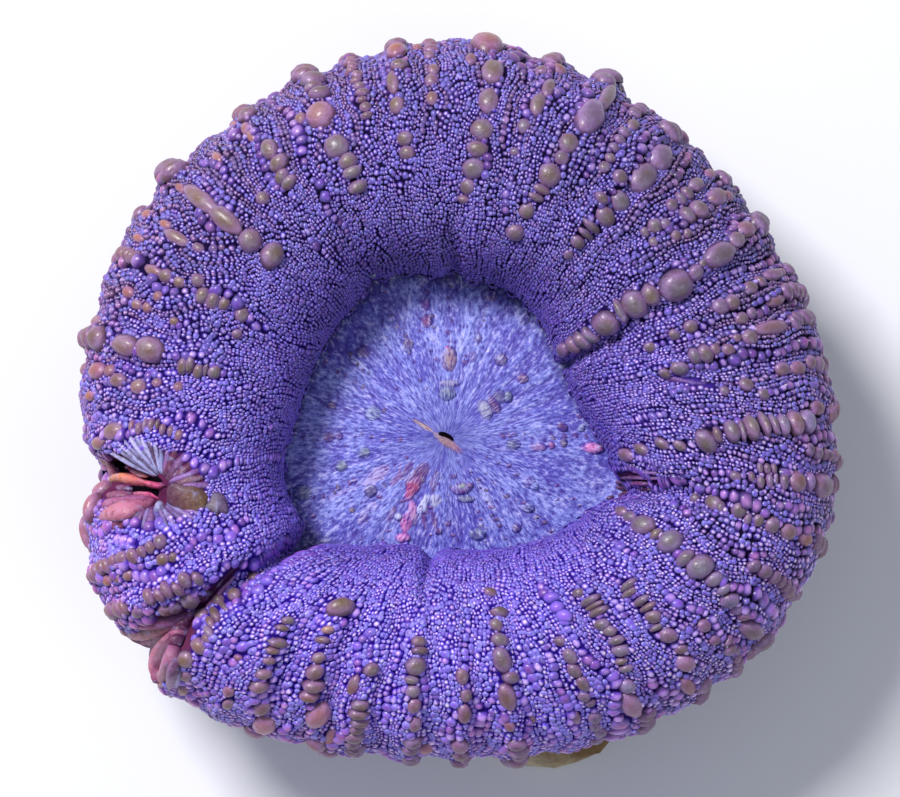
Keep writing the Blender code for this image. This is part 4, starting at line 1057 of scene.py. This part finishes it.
def makeSkin():
    angle = np.arange(skin["around"]) / skin["around"] * 360.0
    ringAlong = np.linspace(lipAlong - 1.0, wholeLength, skin["ring"])
    rings = [fleshPoint(angle, np.full_like(angle, s)) for s in ringAlong]
    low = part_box("skeleton")[1][2] / mm
    underside = ((25.4, 7.15), (24.2, 7.0), (23.4, 7.15), (23.7, 8.2), (24.9, low - 0.5), (24.4, low + 0.4),
                 (14.0, 9.1), (7.0, 9.1), (1.0, 9.1))
    radians = np.radians(angle)
    east = np.cos(radians)
    north = np.sin(radians)
    for radius, height in underside:
        rings.append(shapeFlesh(radius * east, radius * north, np.full_like(angle, height)))
    rings = np.array(rings)
    count, wide = rings.shape[:2]
    points = rings.reshape(-1, 3)
    obj = makeMesh("fleshSkin", points, gridFaces(count, wide))
    # The skin between the beads is painted as the shade in the gaps: blue at the lower left, near black
    # towards the top and right
    dark = np.maximum(smoothStep(points[:, 1], -20.0, 16.0), smoothStep(points[:, 0], 6.0, 24.0))
    tone = blend(colours["ultramarine"], colours["creviceShade"], dark)
    for place in smoothPlaces.values():
        tone = blend(tone, colours[place[3]], inPlace(points, place))
    paint(obj, tone)
    layGrid(obj, wide, count)
    return obj


foldShape = {"half": 0.58, "height": 0.62, "sunk": 0.04}   # of the width, of the height, in millimetres


def makeFolds(name, lines, edge, pointed, steps=16, sides=8):   # soft ridges laid on the skin
    points = []
    faces = []
    tones = []
    places = []
    t = np.linspace(0, 1, steps)
    bow = np.linspace(0, math.pi, sides)
    for number, (start, end, wide, high, nearTint, farTint) in enumerate(lines):
        route = [onSkin(*(np.array(start) + (np.array(end) - start) * share)) for share in t]
        here, _, _, up = fleshFrame(*np.array(route).T)
        here = np.stack([np.polyval(np.polyfit(t, line, 4), t) for line in here.T], axis=1)
        up = unit(np.stack([np.polyval(np.polyfit(t, line, 2), t) for line in up.T], axis=1))
        side = unit(np.cross(up, np.gradient(here, axis=0)))
        taper = np.sin(math.pi * t).clip(0, 1) ** pointed
        width = wide * pixel * taper * (1 + 0.12 * np.sin(t * 13 + number * 2.1)) * foldShape["half"]
        lift = high * foldShape["height"] * taper
        ridge = (here[:, None, :] + side[:, None, :] * (np.cos(bow)[None, :] * width[:, None])[..., None]
                 + up[:, None, :] * (np.sin(bow)[None, :] * lift[:, None] - foldShape["sunk"])[..., None])
        centre = np.sin(bow) ** 0.7
        tone = colours[nearTint][None] * (1 - t)[:, None] + colours[farTint][None] * t[:, None]
        # Towards its sides and ends a fold fades to the edge colour: on the disc the disc's own colour,
        # elsewhere painted shade in the grooves
        tone = edge + (tone[:, None, :] - edge) * centre[None, :, None] * taper[:, None, None].clip(0, 1)
        index = np.arange(steps * sides).reshape(steps, sides) + len(points) * steps * sides
        quads = np.stack([index[:-1, :-1], index[1:, :-1], index[1:, 1:], index[:-1, 1:]], axis=-1)
        quads = quads.reshape(-1, 4)
        points.append(ridge.reshape(-1, 3))
        faces.append(quads)
        tones.append(tone.reshape(-1, 3))
        u, v = np.meshgrid(np.linspace(0.03, 0.97, sides), np.linspace(0.03, 0.97, steps))
        spot = np.stack([u, v + number], axis=-1).reshape(-1, 2)
        places.append(spot[(quads - len(points[:-1]) * steps * sides).ravel()])
    obj = makeMesh(name, np.vstack(points), np.vstack(faces))
    paint(obj, np.vstack(tones))
    layMap(obj, np.vstack(places) / np.array([1.0, len(lines)]))
    return obj


# How the bladders swell and how they are tinted
blisters = {
    "half": (0.54, 0.56),           # half-widths round and along, as shares: neighbours press together
    "height": (0.33, 1.9, 0.05),    # of the smaller size, how much the length counts, of the width
    "lift": 0.10,                   # millimetres
    "sides": 16,
    "rough": 0.045,
    "west": (0.84, 0.62, 0.66),     # multiplies the tint at the left of the picture
    "east": (0.68, 0.60, 0.86),     # the same at the right
    "behind": (0.05, 0.25, 0.25),   # taken off at the far side
}


def bladderShades(here, tint):   # a foot painted dark as the shade where it meets the skin, a pink rim that is its own colour and partly painted rim light, round a middle that turns olive inside the outline
    inside = smoothStep(-np.hypot(here[:, 0], here[:, 1]), -30.5, -27.0)
    east = smoothStep(here[:, 0], -12.0, 12.0)
    behind = smoothStep(here[:, 1], 16.0, 26.0) * (1 - np.abs(east * 2 - 1))
    tint = blend(tint, colours["greyPlum"], 0.25 * inside + 0.20 * east)
    tint = blend(tint * blisters["west"], tint * blisters["east"], east)
    tint = tint * (1 - behind[:, None] * blisters["behind"])
    rim = blend(tint, colours["roseLilac"], 0.62) * 0.84
    centre = blend(tint, colours["paleOlive"], 0.15 + 0.20 * inside) * 0.80
    return np.stack([colours["maroon"] * 0.7 + tint * 0.1, rim, centre], axis=1).clip(0, 1)


print("stage: skin")
skinPiece = makeSkin()
discPieces = [makeDisc()]

print("stage: bladders")
bladders = layBladders()
bladderHere, bladderRound, bladderAlong, bladderUp = fleshFrame(bladders["angle"], bladders["along"])
bladderRound = unit(bladderRound)
bladderAlong = unit(bladderAlong)


def makeBladders():
    across = bladders["across"][:, None]
    step = bladders["step"][:, None]
    ofLess, lengthCounts, ofWidth = blisters["height"]
    high = ofLess * np.minimum(across, step * lengthCounts) + ofWidth * across + blisters["lift"]
    halfRound, halfAlong = blisters["half"]
    shades = bladderShades(bladderHere, bladders["tint"])
    return domes("bladders", bladderHere - bladderUp * blisters["lift"], bladderRound * across * halfRound,
                 bladderAlong * step * halfAlong, bladderUp * high, shades, blisters["sides"], bladderDome,
                 blisters["rough"])


bladderPiece = makeBladders()


def uncovered(here, along):   # the beads that no bladder and no smooth place takes the room of
    keep = turnAt(along) < beads["foot"]
    for spot, roundWay, alongWay, wide, long in zip(bladderHere, bladderRound, bladderAlong,
                                                    bladders["across"], bladders["step"]):
        offset = here - spot
        across2 = (offset @ roundWay / wide) ** 2
        along2 = (offset @ alongWay / long) ** 2
        keep &= (across2 + along2 > 0.44 ** 2) | (np.linalg.norm(offset, axis=1) > 2.5)
    for place in smoothPlaces.values():
        keep &= inPlace(here, place) < dice.uniform(0.2, 0.9, len(here))
    return keep


def beadShades(here, laid):   # foot, body and tip of each bead, with painted light and shade: shaded feet, pale tips, darker top and right
    count = len(here)
    turn = turnAt(laid["along"])
    outward = smoothStep(-turn, -70.0, -10.0)
    wall = smoothStep(turn, 105.0, 165.0)
    large = smoothStep(laid["across"], 0.5, 0.9)
    north = smoothStep(here[:, 1], -20.0, 16.0)
    west = smoothStep(-here[:, 0], 5.0, 30.0)
    east = smoothStep(here[:, 0], 6.0, 24.0)
    luck = dice.uniform(0, 1, count)
    luckTwo = dice.uniform(0, 1, count)
    patch = softNoise(laid["angle"], laid["along"], 7.0)
    rosy = outward * (luckTwo > 0.66)

    # The inner wall is painted darker: partly its own deeper colour, partly painted shade in the pit
    body = blend(colours["violet"], colours["deepViolet"], wall * 0.6)
    body = blend(body, colours["plum"], (luck < 0.35) * 0.45 + large * 0.35 + wall * (luckTwo < 0.4) * 0.5)
    body = blend(body, colours["maroon"], wall * (luckTwo < 0.22) * 0.7)
    body = blend(body, colours["rose"], rosy * (0.35 + 0.35 * np.maximum(west, north)))
    body = blend(body, colours["salmon"], outward * large * 0.5 + outward * west * (luck > 0.8) * 0.6)
    rowLuck = dice.uniform(0, 1, beads["rays"])[laid["ray"]]
    reddish = (rowLuck > 0.80) * smoothStep(-turn, -112.0, -70.0)   # one ray in five is red-brown
    body = blend(body, colours["brownTan"], reddish * (0.30 + 0.35 * north))
    # Painted light and shade: bodies bluer at the lower left and darker towards the top of the picture
    body = blend(body, colours["ultramarine"], 0.22 * (1 - north) * (1 - large))
    uneven = 1 + 0.14 * dice.standard_normal((count, 1)) + 0.12 * patch[:, None]
    body = body * uneven * (1 - 0.40 * north[:, None])

    # The pale lilac tips are painted highlights, mixed with the beads' own mauve
    tip = blend(colours["lilac"], colours["mauve"], large * 0.7 + (luck < 0.3) * 0.5)
    tip = blend(tip, colours["violet"], wall * 0.55)
    tip = blend(tip, colours["peach"], rosy * 0.5 * np.maximum(west, north))
    tip = blend(tip, colours["rose"], reddish * 0.45)
    # Painted highlights: tips brighter at the bottom of the picture, dimmer towards the top
    tip = tip * (1 + 0.16 * dice.standard_normal((count, 1))) * (1.15 - 0.45 * north[:, None])

    ringed = (luckTwo < 0.45)[:, None]   # painted rim light: beads that look pale round a darker middle
    around = np.where(ringed, body * 0.4 + tip * 0.6, body)
    middle = np.where(ringed, body * 1.1, tip)

    dark = np.maximum(north, east)       # painted shade in the gaps at the feet: bluest and lightest at the lower left, near black at the top and right
    foot = blend(colours["ultramarine"], colours["creviceShade"], dark)
    foot = blend(foot, colours["maroon"], (luckTwo > 0.5) * 0.25)
    foot = foot * (1.0 + 0.5 * (1 - wall) * (1 - dark))[:, None]
    # Painted shade: bodies darker at the right, tips a little brighter there
    around = around * beads["bodyHue"] * (1 - 0.30 * east[:, None])
    middle = middle * beads["tipHue"] * (1 + 0.05 * east[:, None])
    return np.stack([foot, around, middle], axis=1).clip(0, 1)


print("stage: beads")
laid = layBeads()
here, rounds, alongs, up = fleshFrame(laid["angle"], laid["along"])
keep = uncovered(here, laid["along"])
laid = {key: value[keep] for key, value in laid.items()}
here, rounds, alongs, up = here[keep], unit(rounds[keep]), unit(alongs[keep]), up[keep]
count = len(here)
print("beads", count)
wide = laid["across"][:, None]
long = laid["step"][:, None]
stray = dice.normal(0, beads["jitter"], (count, 2))
here = here + rounds * wide * stray[:, :1] + alongs * long * stray[:, 1:]
tilt = rounds * dice.normal(0, 1, (count, 1)) + alongs * dice.normal(0, 1, (count, 1))
up = unit(up + beads["lean"] * tilt)
size = dice.uniform(*beads["sizes"], (count, 1)) * (1 - 0.08 * smoothStep(here[:, 1:2], -20.0, 16.0))
shades = beadShades(here, laid)
high = (wide + np.minimum(long, wide * 1.3)) / 4 * beads["ringHeight"]
low = 1 - 0.25 * smoothStep(turnAt(laid["along"]), 105.0, 165.0)[:, None]   # lower on the inner wall
high = high * dice.uniform(*beads["heights"], (count, 1)) * low


def makeBeads(name, chosen, sides, levels):
    return domes(name, here[chosen], (rounds * wide * size)[chosen] * beads["half"],
                 (alongs * long * size)[chosen] * beads["half"], (up * high)[chosen], shades[chosen],
                 sides, levels, beads["rough"])


isCoarse = laid["across"] > beads["coarse"]
beadPieces = [makeBeads("coarseBeads", np.flatnonzero(isCoarse), beads["coarseSides"], coarseDome)]
fine = np.flatnonzero(~isCoarse)
fine = fine[np.argsort(laid["ray"][fine], kind="stable")]
facesEach = beads["fineSides"] * (2 * len(fineDome) - 1)
share = math.ceil(len(fine) * facesEach / beads["mostFaces"])
for letter, chosen in zip("ABCDEF", np.array_split(fine, share)):
    beadPieces.append(makeBeads("fineBeads" + letter, chosen, beads["fineSides"], fineDome))

print("stage: folds and spots")
softPieces = []
shadowPieces = []
for name, lines in folds.items():
    if name in ("discFolds", "mouthLips"):
        discPieces.append(makeFolds(name, lines, colours["lavender"], 0.6))
    elif name == "darkThroat":
        # near black, painted as the shadow inside the side mouth
        shadowPieces.append(makeFolds(name, lines, colours["ink"], 0.3))
    else:
        # the maroon at the sides of these folds is painted shade in the grooves between them
        softPieces.append(makeFolds(name + "Ridges", lines, colours["maroon"], 0.3))


def layDashes():   # short dark marks in rows down the ribs of the disc
    found = []
    for rib in range(disc["ribs"]):
        along = dice.uniform(3.0, 6.0)
        rowStart = dice.uniform(0.0, 0.7)
        while along < lipAlong - 0.8:
            angle = (rib + 0.5 + dice.normal(0, 0.13)) * 360.0 / disc["ribs"]
            if rowStart < 0.45 and dice.uniform() < 0.8:
                found.append((angle - 3.0 * softNoise(angle, along, 7.0), along, dice.uniform(0.25, 0.75)))
            along += dice.uniform(0.35, 1.1)
    return np.array(found)


def makeDashes():
    angle, along, wide = layDashes().T
    here, rounds, down, up = fleshFrame(angle, along)
    across = unit(rounds) * wide[:, None]
    tint = np.where(dice.uniform(0, 1, len(wide))[:, None] < 0.6, colours["plum"], colours["greyPlum"])
    shades = np.stack([colours["discSkin"] + 0 * tint, tint, tint * 0.8], axis=1).clip(0, 1)
    return domes("discDashes", here + up * disc["lift"], across / 2, unit(down) * wide[:, None] * 0.34,
                 up * disc["dashHeight"], shades, 10, coarseDome, 0.06)


def makeSpots():
    x, y, wide, long, turn, high = np.array([spot[:6] for spot in discSpots.values()]).T
    here, _, _, up = fleshFrame(*np.array([onSkin(*place) for place in zip(x, y)]).T)
    cosine, sine = np.cos(np.radians(turn)), np.sin(np.radians(turn))
    across = np.stack([cosine, -sine, 0 * sine], axis=1) * (wide * pixel * disc["spotHalf"])[:, None]
    down = np.stack([sine, cosine, 0 * sine], axis=1) * (long * pixel * disc["spotHalf"])[:, None]
    tint = np.array([colours[spot[6]] for spot in discSpots.values()])
    edge = colours["deepViolet"] + 0 * tint
    flank = tint * 0.45 + colours["lavender"] * 0.5
    middle = tint * 0.9 + colours["lavender"] * 0.1
    shades = np.stack([edge, flank, middle], axis=1).clip(0, 1)
    return domes("discSpots", here + up * disc["lift"], across, down,
                 up * (0.10 + 0.5 * high)[:, None], shades, 16, bladderDome, 0.04)


def makeMouthShadow():
    here, _, _, up = fleshFrame(*np.array([onSkin(*mouthShadow["pixel"])]).T)
    ink = np.tile(colours["ink"], (1, 3, 1))
    return domes("mouthShadow", here + up * mouthShadow["lift"], np.array([mouthShadow["long"]]),
                 np.array([mouthShadow["short"]]), up * mouthShadow["height"], ink, 16, bladderDome)


discPieces += [makeDashes(), makeSpots()]
shadowPieces.append(makeMouthShadow())


def discFinish():   # fine lines that run out from the mouth, dark and pale, over what is painted
    finish = Finish("discStriae")
    shade = finish.painted()
    place = finish.add("ShaderNodeTexCoord", {}, {}, out="Object")
    mouthX, mouthY = flesh["mouth"]
    flat = finish.vector("SUBTRACT", place, (mouthX * mm, mouthY * mm, 0.0))
    flat = finish.vector("MULTIPLY", flat, (1.0, 1.0, 0.0))
    far = finish.add("ShaderNodeVectorMath", {"operation": "LENGTH"}, {0: flat}, out="Value")
    outward = finish.vector("MULTIPLY", finish.vector("NORMALIZE", flat), (38.0, 38.0, 0.0))
    lift = finish.add("ShaderNodeCombineXYZ", {}, {"Z": far * 1700.0})
    line = finish.noise(1.0, 5.0, 0.68, finish.vector("ADD", outward, lift))
    cloud = finish.noise(330.0, 4.0, 0.6)
    shade = finish.mix(shade, colours["paleLavender"], finish.ramp(cloud, (0.50, 0.0), (0.66, 0.7)))
    shade = finish.mix(shade, colours["lilac"], finish.ramp(line, (0.52, 0.0), (0.66, 0.85)))
    shade = finish.mix(shade, colours["deepViolet"], finish.ramp(line, (0.37, 1.0), (0.51, 0.0)))
    finish.set(Base_Color=shade, Roughness=0.5, Coat_Weight=0.15, Coat_Roughness=0.25)
    finish.bump(line, 0.8, 0.00025)
    return finish


def foldFinish():   # thin wet skin with fine lines
    finish = Finish("thinFolds")
    shade = finish.painted()
    cloud = finish.noise(1400.0, 5.0, 0.65)
    shade = finish.mix(shade, colours["maroon"], finish.ramp(cloud, (0.34, 0.6), (0.48, 0.0)))
    shade = finish.mix(shade, colours["paleLilac"], finish.ramp(cloud, (0.54, 0.0), (0.68, 0.5)))
    finish.set(Base_Color=shade, Roughness=0.5, Coat_Weight=0.12, Coat_Roughness=0.25)
    finish.bump(cloud, 0.6, 0.0003)
    return finish


# Near black and dull: the painted shadow of the mouth and the side mouth
def shadowFinish():
    finish = Finish("shadowInk")
    finish.set(Base_Color=colours["ink"], Roughness=1.0, Specular_IOR_Level=0.05)
    return finish


def beadFinish():
    finish = Finish("wetBeads")
    shade = finish.painted()
    cloud = finish.noise(900.0, 4.0)
    shade = finish.mix(shade, (0.70, 0.58, 0.82), finish.ramp(cloud, (0.35, 0.5), (0.65, 0.0)), "MULTIPLY")
    finish.set(Base_Color=shade, Roughness=0.42, Coat_Weight=0.25, Coat_Roughness=0.16)
    finish.bump(finish.noise(3200.0, 3.0), 0.35, 0.00008)
    return finish


def bladderFinish():
    finish = Finish("glassyBladders")
    shade = finish.painted()
    cloud = finish.noise(1100.0, 5.0, 0.6)
    milky = finish.mix(shade, colours["pearl"], 0.30)
    shade = finish.mix(shade, milky, finish.ramp(cloud, (0.5, 0.0), (0.72, 0.8)))
    shade = finish.mix(shade, colours["deepOlive"], finish.ramp(cloud, (0.30, 0.5), (0.46, 0.0)))
    finish.set(Base_Color=shade, Roughness=0.42, Coat_Weight=0.30, Coat_Roughness=0.2)
    finish.bump(finish.noise(1500.0, 5.0, 0.6), 0.6, 0.0003)
    return finish


def skinFinish():
    finish = Finish("skinBetween")
    shade = finish.painted()
    patch = finish.noise(600.0)
    shade = finish.mix(shade, (0.55, 0.4, 0.6), finish.ramp(patch, (0.4, 0.6), (0.6, 0.0)), "MULTIPLY")
    finish.set(Base_Color=shade, Roughness=0.9, Specular_IOR_Level=0.15)
    finish.bump(finish.noise(1800.0), 0.6, 0.0002)
    return finish


def stoneFinish():
    finish = Finish("chalkyStone")
    patch = finish.noise(90.0, 5.0, 0.6)
    shade = finish.mix(srgb(196, 182, 150), srgb(122, 96, 60), finish.ramp(patch, (0.42, 0.0), (0.62, 1.0)))
    finish.set(Base_Color=shade, Roughness=0.85)
    finish.bump(finish.noise(900.0, 6.0, 0.6), 0.8, 0.0006)
    return finish


dressed = (
    ([skinPiece], skinFinish()), ([bladderPiece], bladderFinish()), (shadowPieces, shadowFinish()),
    (beadPieces, beadFinish()), (discPieces, discFinish()), (softPieces, foldFinish()),
)
for group, finish in dressed:
    for piece in group:
        dress(piece, finish, "polyp")
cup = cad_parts["skeleton"]
cup.data.materials.clear()
cup.data.materials.append(stoneFinish().data)

# Floor, light and camera
sky = ((0.86, 0.9, 1.0, 1.0), 0.34)   # colour and strength
floorColour = (0.78, 0.79, 0.82)
lights = {   # place and size in metres, watts, colour
    "keyLight": ((-0.24, 0.24, 0.44), 0.16, 3.6, (1.0, 0.98, 1.0)),
    "fillLight": ((0.40, -0.34, 0.40), 0.40, 0.9, (0.85, 0.9, 1.0)),
}


def makeStage():
    bpy.ops.mesh.primitive_plane_add(size=3.0, location=(0, 0, 0))
    floor = bpy.context.object
    floor.name = "floor"
    finish = Finish("paleFloor")
    finish.set(Base_Color=floorColour, Roughness=0.7)
    floor.data.materials.append(finish.data)
    world = bpy.data.worlds.new("studio")
    world.use_nodes = True
    background = world.node_tree.nodes["Background"].inputs
    background["Color"].default_value, background["Strength"].default_value = sky
    bpy.context.scene.world = world
    for name, (place, size, power, colour) in lights.items():
        light = bpy.data.lights.new(name, "AREA")
        light.size = size
        light.energy = power
        light.color = colour
        lamp = bpy.data.objects.new(name, light)
        lamp.location = place
        aim = Vector(studio["aim"]) * mm - lamp.location
        lamp.rotation_euler = aim.to_track_quat("-Z", "Y").to_euler()
        bpy.context.scene.collection.objects.link(lamp)


def makeCamera():
    data = bpy.data.cameras.new("camera")
    camera = bpy.data.objects.new("camera", data)
    bpy.context.scene.collection.objects.link(camera)
    target = Vector(studio["lookAt"]) * mm
    tilt = math.radians(studio["elevation"])
    camera.location = target + Vector((0, -math.cos(tilt), math.sin(tilt))) * studio["distance"] * mm
    camera.rotation_euler = (math.radians(90) - tilt, 0, 0)
    data.sensor_width = 36.0
    data.lens = 36.0 * studio["distance"] / (studio["picture"][0] / studio["pixelsPerMm"])
    data.clip_start = 0.01
    bpy.context.scene.camera = camera


makeStage()
makeCamera()
bpy.context.scene.view_settings.view_transform = "Standard"

print("stage: done")
